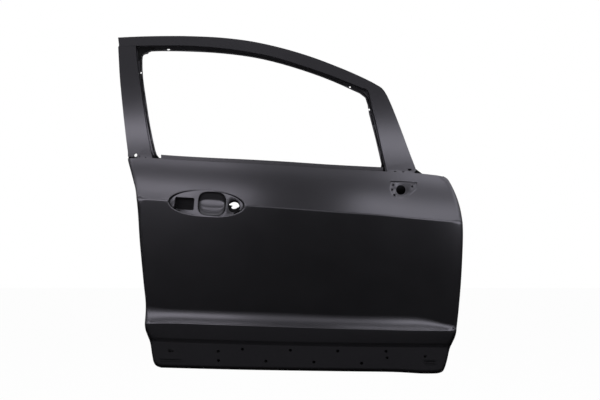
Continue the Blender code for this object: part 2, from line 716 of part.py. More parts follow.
def clip_holes():
    found = [ring_points(p, CLIP_HOLE_RADIUS, CLIP_HOLE_RADIUS, 8) for p in placed(CLIP_HOLE_SHARES)]
    found.append(rounded_slot(placed((CLIP_SLOT_SHARES,))[0], CLIP_SLOT_LENGTH, CLIP_SLOT_HEIGHT,
                              CLIP_SLOT_HEIGHT / 3, arc=1))
    return found


def belt_edge(start, end, parts):
    """The skin's belt edge from one x to another."""
    return [(x, belt(x)) for x in (start + (end - start) * i / parts for i in range(parts + 1))]


def skin_rows(x):
    """Heights of the mesh rows of the skin at one x, apart from the creases themselves."""
    spans = (
        (character(x), belt(x), SHOULDER_ROW_SHARES),
        (character(x), flare_top(x), BODY_ROW_SHARES),
        (flare_top(x), flare_crease(x), FLARE_ROW_SHARES),
        (step_foot(x), sill(x), CLADDING_ROW_SHARES),
    )
    return [start + (end - start) * share for start, end, shares in spans for share in shares]


def build_skin(parent):
    hem_radius = SKIN_SHEET + HEM_SEAM_GAP + INNER_SHEET / 2
    edge = along_edge(skin_edge(2), hem_radius)
    flange = along_edge(edge, FLANGE_WIDTH)
    top = belt_edge(edge[-1][0], edge[0][0], SKIN_COLUMNS)[1:-1]
    outline = [p[:2] for p in edge] + top
    handle_lines, handle_holes, handle_rim = handle_loops(32, 20)
    mirror_lines, mirror_holes, mirror_rim = mirror_loops()
    keep_out = [ring_points(placed((HANDLE_CENTRE_SHARES,))[0], HANDLE_HALF_LENGTH + HEM_WIDTH,
                            HANDLE_HALF_HEIGHT + HEM_WIDTH, 24, HANDLE_TILT),
                shifted(mirror_rim, -HEM_WIDTH, closed=True)]
    border = [p[:2] for p in along_edge(edge, FLANGE_WIDTH + HEM_WIDTH)]
    border += [(x, z - HEM_WIDTH) for x, z in top]
    columns = [DOOR_LENGTH * (k + 1) / (SKIN_COLUMNS + 1) for k in range(SKIN_COLUMNS)]
    lines = [([p[:2] for p in flange], False)]
    lines += rungs([p[:2] for p in edge], [p[:2] for p in flange])
    for crease in CREASES:
        ends = [(e[:2], f[:2]) for e, f in zip(edge, flange) if e[2] is crease]
        if len(ends) != 2:
            continue
        (rear_edge, rear), (front_edge, front) = sorted(ends)
        body = [(x, crease(x)) for x in columns if rear[0] + HEM_WIDTH < x < front[0] - HEM_WIDTH]
        for run in broken([rear_edge, rear] + body + [front, front_edge], handle_rim):
            lines.append((run, False))
    points = [(x, z) for x in columns for z in skin_rows(x)
              if inside((x, z), border) and not any(inside((x, z), zone) for zone in keep_out)]
    mesh = sheet_mesh(outline, handle_holes + mirror_holes + [h for h in clip_holes()],
                      lines + handle_lines + mirror_lines, points, skin_depth)
    fold_hem(mesh, hem_radius, edge, flange)
    skin = new_object("outer_panel", mesh, painted("skin_primer", PRIMER_BLACK), parent)
    return thicken(skin, SKIN_SHEET)


def broken(run, loop):
    """The line in pieces, without its part inside the loop."""
    pieces, piece, before = [], [], run[0]
    for point in run:
        if not inside(point, loop):
            piece.append(point)
        elif piece:
            pieces.append(piece + [crossing(piece[-1], point, loop)])
            piece = []
        last = point
        if piece == [point] and pieces:
            piece = [crossing(point, before, loop), point]
        before = last
    return pieces + [piece]


def crossing(outer, inner, loop):
    """Where the segment from outside to inside a loop meets it."""
    for i in range(len(loop)):
        a, b = Vector(loop[i - 1]), Vector(loop[i])
        found = intersect_line_line_2d(Vector(outer), Vector(inner), a, b)
        if found:
            return tuple(found)
    return outer


def fold_hem(mesh, radius, edge, flange):
    """Folds the skin's free edge back behind itself, leaving room for the inner panel's flange."""
    run = edge_run(mesh, edge[0][:2], edge[-1][:2])
    outwards = shifted(edge, -radius, closed=False)
    rows = [run, [], [], []]
    for (x, z, _), (x1, z1, _), (x2, z2) in zip(edge, flange, outwards):
        rows[1].append((x2, behind_skin(x, z, radius), z2))
        back = Vector((x, behind_skin(x, z, 2 * radius), z))
        rows[2].append(back)
        rows[3].append(back.lerp(Vector((x1, behind_skin(x1, z1, 2 * radius), z1)), HEM_WIDTH / FLANGE_WIDTH))
    loft(mesh, [row[::-1] for row in rows])


def edge_run(mesh, rear, front):
    """Vertices of the sheet's outer edge from its rear belt corner round the bottom to its front belt corner."""
    loose = {e for e in mesh.edges if e.is_boundary}
    loop = [min((v for e in loose for v in e.verts), key=lambda v: v.co.x)]
    while loop[-1] is not loop[0] or len(loop) == 1:
        way = next(e for e in loop[-1].link_edges if e in loose)
        loose.discard(way)
        loop.append(way.other_vert(loop[-1]))
    loop.pop()

    def nearest(point):
        return min(range(len(loop)), key=lambda i: math.dist((loop[i].co.x, loop[i].co.z), point))

    start, end = nearest(rear), nearest(front)
    ways = (loop[start:] + loop[:start], loop[start::-1] + loop[:start:-1])
    runs = [way[:way.index(loop[end]) + 1] for way in ways]
    return min(runs, key=lambda run: min(v.co.z for v in run))


def window_loop():
    """Edge of the window opening, anticlockwise, with its foot along the belt."""
    side = smooth(placed(WINDOW_SHARES), 2)
    foot = [(x, belt(x) + BELT_EDGE_RISE) for x in
            (side[0][0] + (side[-1][0] - side[0][0]) * i / 9 for i in range(10))]
    return foot + side[::-1][:-1] + [side[0]]


def build_inner(parent):
    hem_radius = SKIN_SHEET + HEM_SEAM_GAP + INNER_SHEET / 2
    seat = SKIN_SHEET + HEM_SEAM_GAP
    skin_rim = along_edge(skin_edge(2), hem_radius)
    edge = along_edge(skin_rim, HEM_CLEARANCE)
    flange = along_edge(skin_rim, FLANGE_WIDTH)
    header = smooth(placed(HEADER_EDGE_SHARES), 2)
    frame_edge = header[::-1] + smooth(placed(PILLAR_EDGE_SHARES), 2)
    upper = shifted(frame_edge, FRAME_SIDE_CLEARANCE, closed=False)
    crest = shifted(frame_edge, FRAME_SIDE_CLEARANCE + FRAME_INNER_DRAFT, closed=False)
    shoulder = [(x, belt(x) - LIP_WIDTH / 4) for x in
                (edge[-1][0] + (header[-1][0] - edge[-1][0]) * i / 4 for i in range(1, 4))]
    outline = [(x, z, behind_skin(x, z, seat)) for x, z, _ in edge]
    outline[0] = (*edge[0][:2], behind_skin(*edge[0][:2], seat - SEAM_GAP))
    outline += [(x, z, behind_skin(x, z, seat)) for x, z in shoulder]
    outline += [(x, z, sash_depth(x, z) + FRAME_INNER_START) for x, z in upper]
    fold = [(x, z, behind_skin(x, z, seat)) for x, z, _ in flange]
    lines = [(fold, False)] + rungs(outline[:len(edge)], fold)
    lines.append(([(x, z, sash_depth(x, z) + FRAME_DEPTH) for x, z in crest], False))
    window = window_loop()
    belt_level = PAN_DEPTH - BELT_STEP

    def lip(points, depth):
        return [(x, z, belt_level if near_belt(x, z) else sash_depth(x, z) + depth) for x, z in points]

    def near_belt(x, z):
        return z < belt(x) + BELT_EDGE_RISE * 2

    hidden = CHANNEL_DEPTH + FRAME_SHEET + HEM_SEAM_GAP
    window_hole = lip(window, LIP_DEPTH)
    face = shut_face_line()
    land = shifted(face, -LAND_WIDTH, closed=False)
    pan_edge = shifted(face, WALL_DRAFT, closed=False)
    lines.append(([(x, z, LAND_DEPTH) for x, z in land], False))
    lines.append(([(x, z, LAND_DEPTH) for x, z in face], False))
    top = [(x, belt(x) - PAN_TOP_DROP) for x in
           (pan_edge[-1][0] + (pan_edge[0][0] - pan_edge[-1][0]) * i / 12 for i in range(1, 12))]
    pan = pan_edge + top
    lines.append(([(x, z, PAN_DEPTH) for x, z in pan], True))
    for out, depth in ((LIP_WIDTH, LIP_DEPTH), (LIP_WIDTH + CHANNEL_DRAFT * 2, hidden),
                       (LIP_WIDTH + CHANNEL_DRAFT * 2 + CHANNEL_WIDTH, hidden),
                       (LIP_WIDTH + CHANNEL_DRAFT * 5 + CHANNEL_WIDTH, FRAME_DEPTH)):
        loop = shifted(window, -out, closed=True)
        run = [(x, z, sash_depth(x, z) + depth) for x, z in loop if z > belt(x) + LIP_WIDTH]
        start = max(range(len(run)), key=lambda i: math.dist(run[i - 1][:2], run[i][:2]))
        lines.append((run[start:] + run[:start], False))
    holes = [window_hole]
    for shares in (SERVICE_OPENING_SHARES, LATCH_OPENING_SHARES):
        loop = smooth(placed(shares + shares[:1]), 2)[:-1]
        holes.append([(x, z, PAN_DEPTH) for x, z in loop])
    holes.append([(x, z, PAN_DEPTH) for x, z in
                  ring_points(placed((SPEAKER_CENTRE_SHARES,))[0], SPEAKER_RADIUS, SPEAKER_RADIUS, 28)])
    for point in placed(TRIM_HOLE_SHARES):
        holes.append([(x, z, PAN_DEPTH) for x, z in ring_points(point, TRIM_HOLE_RADIUS, TRIM_HOLE_RADIUS, 8)])
    mesh = sheet_mesh(outline, holes, lines, [], lambda x, z: PAN_DEPTH)
    inner = thicken(new_object("inner_panel", mesh, painted("inner_primer", PRIMER_BLACK), parent), INNER_SHEET)
    cut(inner, build_face_holes(parent))
    return inner


def build_face_holes(parent):
    """One hidden cutter for the holes of both shut faces."""
    holes = bmesh.new()
    for share in HINGE_HEIGHT_SHARES:
        for at in pair(HINGE_BOLT_PITCH):
            prism(holes, ring_points(at, HINGE_BOLT_RADIUS, HINGE_BOLT_RADIUS, 12), wall_frame(True, share), CUT_DEPTH)
    for loop in check_holes():
        prism(holes, loop, wall_frame(True, CHECK_HEIGHT_SHARE), CUT_DEPTH)
    prism(holes, ring_points((0, 0), HARNESS_RADIUS, HARNESS_RADIUS, 16), wall_frame(True, HARNESS_HEIGHT_SHARE),
          CUT_DEPTH)
    for loop in latch_holes():
        prism(holes, loop, wall_frame(False, LATCH_HEIGHT_SHARE), CUT_DEPTH)
    return new_object("shut_face_holes", holes, painted("cutter", BARE_PRIMER), parent)


def shut_face_line():
    """Foot of the deep shut face: straight where hinges and latch sit, smooth elsewhere."""
    points = placed(SHUT_FACE_SHARES)
    rear, front = SHUT_FACE_REAR + 1, SHUT_FACE_FRONT + 1
    return smooth(points[:rear], 2) + smooth(points[rear:front], 2) + smooth(points[front:], 2)


def pair(pitch):
    return ((0, pitch / 2), (0, -pitch / 2))


def check_holes():
    """The check arm's slot and its two bolt holes."""
    slot = rounded_slot((0, 0), CHECK_SLOT_WIDTH, CHECK_SLOT_HEIGHT, CHECK_SLOT_WIDTH / 3)
    return [slot] + [ring_points(at, CHECK_BOLT_RADIUS, CHECK_BOLT_RADIUS, 12) for at in pair(CHECK_BOLT_PITCH)]


def latch_holes():
    """The latch's slot and its three screw holes."""
    slot = rounded_slot((0, 0), LATCH_SLOT_WIDTH, LATCH_SLOT_HEIGHT, LATCH_SLOT_WIDTH / 3)
    places = [(u * LATCH_SCREW_PITCH, v * LATCH_SCREW_PITCH) for u, v in LATCH_SCREW_SHARES]
    return [slot] + [ring_points(at, LATCH_SCREW_RADIUS, LATCH_SCREW_RADIUS, 12) for at in places]


def wall_frame(front, height_share, out=0):
    """Axes at mid-depth on the cavity side of a shut face: across it, up, and out of the door."""
    lean = math.atan2(WALL_DRAFT, PAN_DEPTH - LAND_DEPTH)
    side = 1 if front else -1
    station = SHUT_FACE_SHARES[SHUT_FACE_FRONT if front else SHUT_FACE_REAR]
    up = Vector((0, 0, 1))
    normal = Vector((side * math.cos(lean), math.sin(lean), 0))
    matrix = Matrix((up.cross(normal), up, normal)).transposed().to_4x4()
    middle = Vector((station[0] * DOOR_LENGTH - side * WALL_DRAFT / 2, (LAND_DEPTH + PAN_DEPTH) / 2,
                     height_share * DOOR_HEIGHT))
    matrix.translation = middle + out * normal
    return matrix


def primed(name, mesh, sheet, parent):
    return thicken(new_object(name, mesh, painted(name + "_primer", BARE_PRIMER), parent), sheet)


def build_plate(name, parent, frame, outline, holes, sheet):
    """A flat plate on the first two axes of the frame, its thickness away from the third."""
    mesh = sheet_mesh(outline, holes, [], [], lambda u, v: 0)
    turn = Matrix(((1, 0, 0), (0, 0, 1), (0, -1, 0))).to_4x4()
    bmesh.ops.transform(mesh, matrix=frame @ turn, verts=mesh.verts)
    return primed(name, mesh, sheet, parent)


def build_nut(name, parent, frame, at, width, height, bore):
    """A six-sided weld nut that hangs below the frame's first two axes."""
    corner = width / math.sqrt(3)
    hexagon = [Vector((corner * math.cos(math.tau * k / 6), corner * math.sin(math.tau * k / 6))) for k in range(6)]
    outline = [p for k in range(6) for p in (hexagon[k], (hexagon[k] + hexagon[(k + 1) % 6]) / 2)]
    ring = ring_points((0, 0), bore, bore, 12)
    mesh = bmesh.new()
    pierced_plate(mesh, outline, ring, frame @ Matrix.Translation((*at, -height / 2)), height)
    return new_object(name, mesh, painted(name + "_primer", BARE_PRIMER), parent)


def build_face_plates(parent):
    """Reinforcement plates and weld nuts inside the front and rear shut faces."""
    for label, share in zip(("lower", "upper"), HINGE_HEIGHT_SHARES):
        holes = [ring_points(at, HINGE_BOLT_RADIUS, HINGE_BOLT_RADIUS, 12) for at in pair(HINGE_BOLT_PITCH)]
        outline = rounded_slot((0, 0), HINGE_PLATE_WIDTH, HINGE_PLATE_HEIGHT, PLATE_CORNER)
        build_plate("hinge_reinforcement_" + label, parent, wall_frame(True, share, -SEAM_GAP), outline, holes,
                    HINGE_PLATE_SHEET)
        back = wall_frame(True, share, -2 * SEAM_GAP - HINGE_PLATE_SHEET)
        for place, at in zip(("top", "bottom"), pair(HINGE_BOLT_PITCH)):
            build_nut("hinge_nut_" + label + "_" + place, parent, back, at, NUT_WIDTH, NUT_HEIGHT, HINGE_BOLT_RADIUS)
    outline = rounded_slot((0, 0), CHECK_PLATE_WIDTH, CHECK_PLATE_HEIGHT, PLATE_CORNER)
    build_plate("check_arm_reinforcement", parent, wall_frame(True, CHECK_HEIGHT_SHARE, -SEAM_GAP), outline,
                check_holes(), HINGE_PLATE_SHEET)
    back = wall_frame(True, CHECK_HEIGHT_SHARE, -2 * SEAM_GAP - HINGE_PLATE_SHEET)
    for place, at in zip(("top", "bottom"), pair(CHECK_BOLT_PITCH)):
        build_nut("check_arm_nut_" + place, parent, back, at, SMALL_NUT_WIDTH, SMALL_NUT_HEIGHT, CHECK_BOLT_RADIUS)
    outline = rounded_slot((0, 0), LATCH_PLATE_WIDTH, LATCH_PLATE_HEIGHT, PLATE_CORNER)
    build_plate("latch_reinforcement", parent, wall_frame(False, LATCH_HEIGHT_SHARE, -SEAM_GAP), outline,
                latch_holes(), BRACE_SHEET)


def window_rim(distance):
    """The window's rear, top and front edge moved outwards, station by station from the rear foot."""
    loop = shifted(window_loop(), -distance, closed=True)
    return loop[:-2 * len(WINDOW_SHARES):-1]


def build_frame(parent):
    """Outer halves of the window frame: header with front pillar, and rear pillar."""
    rim = window_rim(LIP_WIDTH + CHANNEL_DRAFT * 2 + FRAME_JOINT_GAP)

    def face(points):
        return [(x, z, sash_depth(x, z)) for x, z in points]

    def floor(points):
        return [(x, z, sash_depth(x, z) + CHANNEL_DEPTH) for x, z in points]

    def dropped(x, drop):
        return x, belt(x) - drop

    edge = smooth(placed(HEADER_EDGE_SHARES), 2)[::-1]
    crest = shifted(edge, FRAME_RETURN_DRAFT, closed=False)
    brow = smooth(placed(HEADER_FACE_SHARES), 2)
    run = brow[2 * HEADER_CHANNEL_START:]
    lean = (run[-1][0] - run[-3][0]) / (run[-3][1] - run[-1][1])
    run = run + [dropped(run[-1][0] + lean * (LEG_DROP + LEG_SHOULDER), LEG_DROP)]
    wall = shifted(run, -CHANNEL_DRAFT, closed=False)
    inner = rim[2 * HEADER_CHANNEL_FIRST:]
    inner = inner + [dropped(run[-1][0] - (run[-2][0] - inner[-1][0]) / 2, LEG_DROP)]
    shoulder = [dropped(edge[1][0], LEG_DROP), dropped(edge[1][0], -LEG_SHOULDER),
                dropped(edge[0][0] + FRAME_RETURN_DRAFT, -LEG_SHOULDER)]
    outline = [(x, z, sash_depth(x, z) + FRAME_RETURN) for x, z in edge]
    outline += face([crest[-1]] + brow[:2 * HEADER_CHANNEL_START + 1])
    outline += floor([wall[0]] + inner + [wall[-1]]) + face([run[-1]] + shoulder + [crest[0]])
    lines = [(face(crest), False), (face(run), False), (floor(wall), False)]
    primed("frame_header_outer", sheet_mesh(outline, [], lines, [], sash_depth), FRAME_SHEET, parent)

    edge = smooth(placed(PILLAR_EDGE_SHARES), 2)
    crest = shifted(edge, FRAME_RETURN_DRAFT, closed=False)
    run = smooth(placed(PILLAR_FACE_SHARES), 2)
    lean = (run[-1][0] - run[-3][0]) / (run[-3][1] - run[-1][1])
    run = run + [dropped(run[-1][0] + lean * (run[-1][1] - belt(run[-1][0]) + LEG_DROP), LEG_DROP)]
    wall = shifted(run[:-1], CHANNEL_DRAFT, closed=False)
    inner = rim[:2 * PILLAR_CHANNEL_END + 1]
    outline = [(x, z, sash_depth(x, z) + FRAME_RETURN) for x, z in edge]
    notch = edge[-1][0] + FLANGE_WIDTH * 2.5
    outline += face([crest[-1], dropped(edge[-1][0] + FRAME_RETURN_DRAFT * 2, -LEG_SHOULDER),
                     dropped(notch, -LEG_SHOULDER), dropped(notch, LEG_DROP)] + run[:-3:-1])
    outline += floor([wall[-1]] + inner + [wall[0]]) + face([run[0], crest[0]])
    lines = [(face(crest), False), (face(run[:-1]), False), (floor(wall), False)]
    primed("frame_rear_pillar_outer", sheet_mesh(outline, [], lines, [], sash_depth), FRAME_SHEET, parent)

    def on_floor(x, z):
        return sash_depth(x, z) + CHANNEL_DEPTH - SEAM_GAP - FRAME_SHEET

    corner = rim[2 * PILLAR_CHANNEL_END:2 * HEADER_CHANNEL_FIRST + 1] + placed(GUSSET_OUTER_SHARES)
    primed("frame_corner_gusset", sheet_mesh(corner, [], [], [], on_floor), FRAME_SHEET, parent)


def build_belt(parent):
    """Reinforcements along the belt, behind the skin and on the inner panel."""
    seat = SKIN_SHEET + SEAM_GAP
    start, end = BELT_STRIP_START_SHARE * DOOR_LENGTH, BELT_STRIP_END_SHARE * DOOR_LENGTH
    columns = [start + (end - start) * i / BELT_COLUMNS for i in range(BELT_COLUMNS + 1)]
    section_rows = ((BELT_END_DROP, 0), (BELT_FOOT_DROP, 0), (BELT_HAT_FOOT_DROP, BELT_HAT_DEPTH),
                    (BELT_HAT_DROP, BELT_HAT_DEPTH), (BELT_STRIP_DROP, 0), (-BELT_STRIP_RISE, 0))
    rows = [[(x, behind_skin(x, belt(x) - drop, seat + rise), belt(x) - drop) for x in columns]
            for drop, rise in section_rows]
    mesh = bmesh.new()
    made = loft(mesh, rows)
    on_bracket = seat + BRACE_SHEET + BRACKET_GAP * 2
    land = LAND_DEPTH - SEAM_GAP - BRACE_SHEET
    front, rear = [], []
    for row, (drop, _) in list(zip(made, section_rows))[2:4]:
        places = [end + BELT_TAB_RUN, end + BELT_TAB_RUN + BELT_TAB_LENGTH]
        front.append([row[-1]] + [(x, behind_skin(x, belt(x) - drop, on_bracket), belt(x) - drop) for x in places])
        face = SHUT_FACE_SHARES[SHUT_FACE_REAR][0] * DOOR_LENGTH
        places = [face - LAND_OVERLAP, face + BELT_TAB_RUN]
        rear.append([(x, land, belt(x) - drop - BELT_REAR_TAB_DROP) for x in places] + [row[0]])
    loft(mesh, front)
    loft(mesh, rear)
    primed("belt_reinforcement_outer", mesh, BRACE_SHEET, parent)

    start, end = INNER_BELT_START_SHARE * DOOR_LENGTH, INNER_BELT_END_SHARE * DOOR_LENGTH
    columns = [start + (end - start) * i / BELT_COLUMNS for i in range(BELT_COLUMNS + 1)]
    pan = PAN_DEPTH - SEAM_GAP - BRACE_SHEET
    foot = INNER_BELT_TOP_DROP + INNER_BELT_HEIGHT
    slope = INNER_BELT_FLANGE + INNER_BELT_HAT_RUN
    section_rows = ((foot, 0), (foot - INNER_BELT_FLANGE, 0), (foot - slope, INNER_BELT_HAT_DEPTH),
                    (INNER_BELT_TOP_DROP + slope, INNER_BELT_HAT_DEPTH), (INNER_BELT_TOP_DROP + INNER_BELT_FLANGE, 0),
                    (INNER_BELT_TOP_DROP, 0))
    mesh = bmesh.new()
    loft(mesh, [[(x, pan - rise, belt(x) - drop) for x in columns] for drop, rise in section_rows])
    primed("belt_reinforcement_inner", mesh, BRACE_SHEET, parent)


def ribbon(start, end, alongs, acrosses, depth):
    """A sheet along a line on the side view, with its depth set by place, distance along and distance across."""
    axis = (Vector(end) - Vector(start)).normalized()
    side = Vector((-axis.y, axis.x))
    rows = []
    for v in acrosses:
        places = [(Vector(start) + axis * a + side * v, a) for a in alongs]
        rows.append([(p.x, depth(p.x, p.y, a, v), p.y) for p, a in places])
    mesh = bmesh.new()
    loft(mesh, rows)
    return mesh


def build_beam(parent):
    """The side impact beam and the cradles that carry it on the lands of the inner panel."""
    rear, front = (Vector(p) for p in placed((BEAM_REAR_SHARES, BEAM_FRONT_SHARES)))
    land = LAND_DEPTH - SEAM_GAP - BRACE_SHEET
    centre = land - BEAM_RADIUS * BEAM_SUNK_SHARE
    along = (front - rear).normalized()
    axis = Vector((along.x, 0, along.y))
    inboard = Vector((0, 1, 0))
    matrix = Matrix((inboard.cross(axis), inboard, axis)).transposed().to_4x4()
    middle = (rear + front) / 2
    matrix.translation = Vector((middle.x, centre, middle.y))
    mesh = bmesh.new()
    outer = ring_points((0, 0), BEAM_RADIUS, BEAM_RADIUS, 24)
    bore = ring_points((0, 0), BEAM_RADIUS - BEAM_WALL, BEAM_RADIUS - BEAM_WALL, 24)
    pierced_plate(mesh, outer, bore, matrix, (front - rear).length)
    new_object("impact_beam", mesh, painted("impact_beam_primer", BARE_PRIMER), parent)

    radius = BEAM_RADIUS + 2 * SEAM_GAP
    reach = math.acos((land - centre) / radius)
    arc = [radius * math.sin(reach * k / 4) for k in range(-4, 5)]
    acrosses = [-CRADLE_HALF_WIDTH] + arc + [CRADLE_HALF_WIDTH]

    def depth(x, z, a, v):
        sunk = min(max((a - CRADLE_TAB) / CRADLE_RUN, 0), 1)
        if abs(v) > arc[-1]:
            return land
        return land + (centre + math.sqrt(radius ** 2 - v ** 2) - land) * sunk

    alongs = (0, CRADLE_TAB, CRADLE_TAB + CRADLE_RUN, CRADLE_LENGTH)
    faces = (face_x(rear.y, False) - LAND_OVERLAP, face_x(front.y, True) + LAND_OVERLAP)
    for name, x, way in (("rear", faces[0], along), ("front", faces[1], -along)):
        start = rear + along * ((x - rear.x) / along.x)
        mesh = ribbon(start, start + way, alongs, acrosses, depth)
        primed("impact_beam_cradle_" + name, mesh, BRACE_SHEET, parent)


def face_x(z, front):
    """Where the foot of the shut face lies at this height."""
    line = shut_face_line()
    half = len(line) // 2
    side = line[half:] if front else line[:half]
    spans = [(a, b) for a, b in zip(side, side[1:]) if min(a[1], b[1]) <= z <= max(a[1], b[1])]
    (x0, z0), (x1, z1) = spans[-1] if front else spans[0]
    return x0 + (x1 - x0) * (z - z0) / (z1 - z0)


def build_skin_brace(parent):
    """The brace across the skin and the mastic pads that join the two."""
    rear, front = (Vector(p) for p in placed((SKIN_BRACE_REAR_SHARES, SKIN_BRACE_FRONT_SHARES)))
    along = (front - rear).normalized()
    rear = rear - along * ((rear.x - face_x(rear.y, False) + LAND_OVERLAP) / along.x)
    front = front + along * ((face_x(front.y, True) + LAND_OVERLAP - front.x) / along.x)
    length = (front - rear).length
    land = LAND_DEPTH - SEAM_GAP - BRACE_SHEET
    seat = SKIN_SHEET + MASTIC_THICKNESS + 2 * BRACKET_GAP
    base, wall, flange = SKIN_BRACE_ACROSS

    def depth(x, z, a, v):
        lifted = SKIN_BRACE_DEPTH if abs(v) > base else 0
        near = min((a - SKIN_BRACE_TAB) / SKIN_BRACE_RAMP, (length - SKIN_BRACE_TAB - a) / SKIN_BRACE_RAMP)
        near = min(max(near, 0), 1)
        return land + (behind_skin(x, z, seat + lifted) - land) * near

    first = SKIN_BRACE_TAB + SKIN_BRACE_RAMP
    middle = [first + (length - 2 * first) * k / SKIN_BRACE_PARTS for k in range(SKIN_BRACE_PARTS + 1)]
    alongs = [0, SKIN_BRACE_TAB] + middle + [length - SKIN_BRACE_TAB, length]
    mesh = ribbon(rear, front, alongs, (-flange, -wall, -base, base, wall, flange), depth)
    primed("skin_brace", mesh, BRACE_SHEET, parent)
    for number, share in enumerate(MASTIC_PLACE_SHARES):
        build_pad("mastic_pad_" + str(number + 1), parent, rear + (front - rear) * share)


def build_pad(name, parent, at):
    ring = ring_points(at, MASTIC_RADIUS, MASTIC_RADIUS, 16)
    mesh = bmesh.new()
    near, far = SKIN_SHEET + SEAM_GAP, SKIN_SHEET + SEAM_GAP + MASTIC_THICKNESS
    rows = [[mesh.verts.new((x, behind_skin(x, z, level), z)) for x, z in ring] for level in (near, far)]
    loft(mesh, rows[::-1], closed=True)
    for row, level in zip(rows, (near, far)):
        middle = mesh.verts.new((at[0], behind_skin(*at, level), at[1]))
        for i in range(len(ring)):
            k = (i + 1) % len(ring)
            mesh.faces.new((row[i], row[k], middle) if level == near else (row[k], row[i], middle))
    return new_object(name, mesh, painted(name + "_mastic", MASTIC_BLACK, roughness=0.9), parent)


def build_brackets(parent):
    """Reinforcements behind the handle recess and the mirror seat, with the mirror's weld nuts."""
    centre = placed((HANDLE_CENTRE_SHARES,))[0]
    seat = SKIN_SHEET + BRACKET_GAP
    loops = [ring_points(centre, HANDLE_HALF_LENGTH + grown, HANDLE_HALF_HEIGHT + grown, 32, HANDLE_TILT)
             for grown in (HANDLE_BRACE_MARGIN, HANDLE_BRACE_WINDOW_MARGIN)]
    reach = HANDLE_HALF_LENGTH + HANDLE_BRACE_MARGIN * 2
    crease = [(x, character(x)) for x in (centre[0] + reach * k / 8 for k in range(-8, 9))]
    mesh = sheet_mesh(loops[0], loops[1:], [(crease, False)], [], lambda x, z: behind_skin(x, z, seat))
    primed("handle_reinforcement", mesh, BRACE_SHEET, parent)

    plane, normal = mirror_plane()
    _, _, rim = mirror_loops()
    lift = (SKIN_SHEET + BRACKET_GAP) / normal.y
    fold = shifted(rim, -MIRROR_BRACE_FOLD_SHIFT, closed=True)
    floor = shifted(rim, MIRROR_RIM_WIDTH - MIRROR_BRACE_FOLD_SHIFT, closed=True)
    outline = shifted(rim, -MIRROR_BRACE_MARGIN, closed=True)
    bores = [ring_points(placed((MIRROR_BORE_SHARES,))[0], MIRROR_BORE_RADIUS * 1.1, MIRROR_BORE_RADIUS * 1.1, 16)]
    bores += [ring_points(p, MIRROR_SCREW_RADIUS, MIRROR_SCREW_RADIUS, 8) for p in placed(MIRROR_SCREW_SHARES)]
    lines = [(fold, True), ([(x, z, plane(x, z) + lift) for x, z in floor], True)]
    holes = [[(x, z, plane(x, z) + lift) for x, z in loop] for loop in bores]
    mesh = sheet_mesh(outline, holes, lines, [], lambda x, z: behind_skin(x, z, seat))
    primed("mirror_reinforcement", mesh, BRACE_SHEET, parent)
    up = (Vector((0, 0, 1)) - normal * normal.z).normalized()
    frame = Matrix((up.cross(-normal), up, -normal)).transposed().to_4x4()
    for number, (x, z) in enumerate(placed(MIRROR_SCREW_SHARES)[:MIRROR_NUT_COUNT]):
        back = Vector((x, plane(x, z), z)) + normal * (SKIN_SHEET + BRACKET_GAP + BRACE_SHEET + SEAM_GAP)
        frame.translation = back
        build_nut("mirror_nut_" + str(number + 1), parent, frame, (0, 0), SMALL_NUT_WIDTH, SMALL_NUT_HEIGHT,
                  MIRROR_SCREW_RADIUS)


def build_guides(parent):
    """The two channels that guide the window glass below the belt, each with a foot on the pan."""
    for name, (share, foot_share), way in (("rear", GUIDE_REAR_SHARES, 1), ("front", GUIDE_FRONT_SHARES, -1)):
        x0, low = share * DOOR_LENGTH, foot_share * DOOR_HEIGHT
        top = belt(x0) - GUIDE_TOP_DROP
        bend = low + (top - low) * GUIDE_BEND_SHARE
        stations = ((top, GUIDE_TOP_DEPTH), (bend, GUIDE_LOW_DEPTH), (low, GUIDE_LOW_DEPTH))
        rows = []
        for z, y in stations:
            x = x0 + GUIDE_LEAN * (belt(x0) - z)
            tips, web = x + way * GUIDE_DEPTH, x
            near, far = y - GUIDE_WIDTH / 2, y + GUIDE_WIDTH / 2
            row = [(tips, near, z), (web, near, z), (web, far, z), (tips, far, z)]
            rows.append(row if way < 0 else row[::-1])
        mesh = bmesh.new()
        made = loft(mesh, rows)
        seat = PAN_DEPTH - SEAM_GAP - GUIDE_SHEET
        last = made[-1][2:] if way < 0 else made[-1][:2]
        foot = [last]
        for drop in (GUIDE_FOOT_RUN, GUIDE_FOOT_RUN + GUIDE_FOOT_LENGTH):
            foot.append([(v.co.x + GUIDE_LEAN * drop, seat, low - drop) for v in last])
        loft(mesh, foot)
        primed("glass_guide_" + name, mesh, GUIDE_SHEET, parent)


def main():
    clear_scene()
    door = bpy.data.objects.new("door", None)
    bpy.context.scene.collection.objects.link(door)
    seat = wall_frame(True, HINGE_HEIGHT_SHARES[0], INNER_SHEET).translation
    door.location = -seat
    build_skin(door)
    build_inner(door)
    build_frame(door)
    build_belt(door)
    build_beam(door)
    build_skin_brace(door)
    build_face_plates(door)
    build_brackets(door)
    build_guides(door)


main()
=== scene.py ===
"""Looks of a right front car door shell: skin, window frame, inner panel and braces, all in black e-coat.

Pieces are built in the door's own coordinates (X forward, Z up, Y inboard) and moved into the row frame.
"""

import math

import bmesh
import bpy
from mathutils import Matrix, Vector
from mathutils.geometry import delaunay_2d_cdt, intersect_line_line_2d


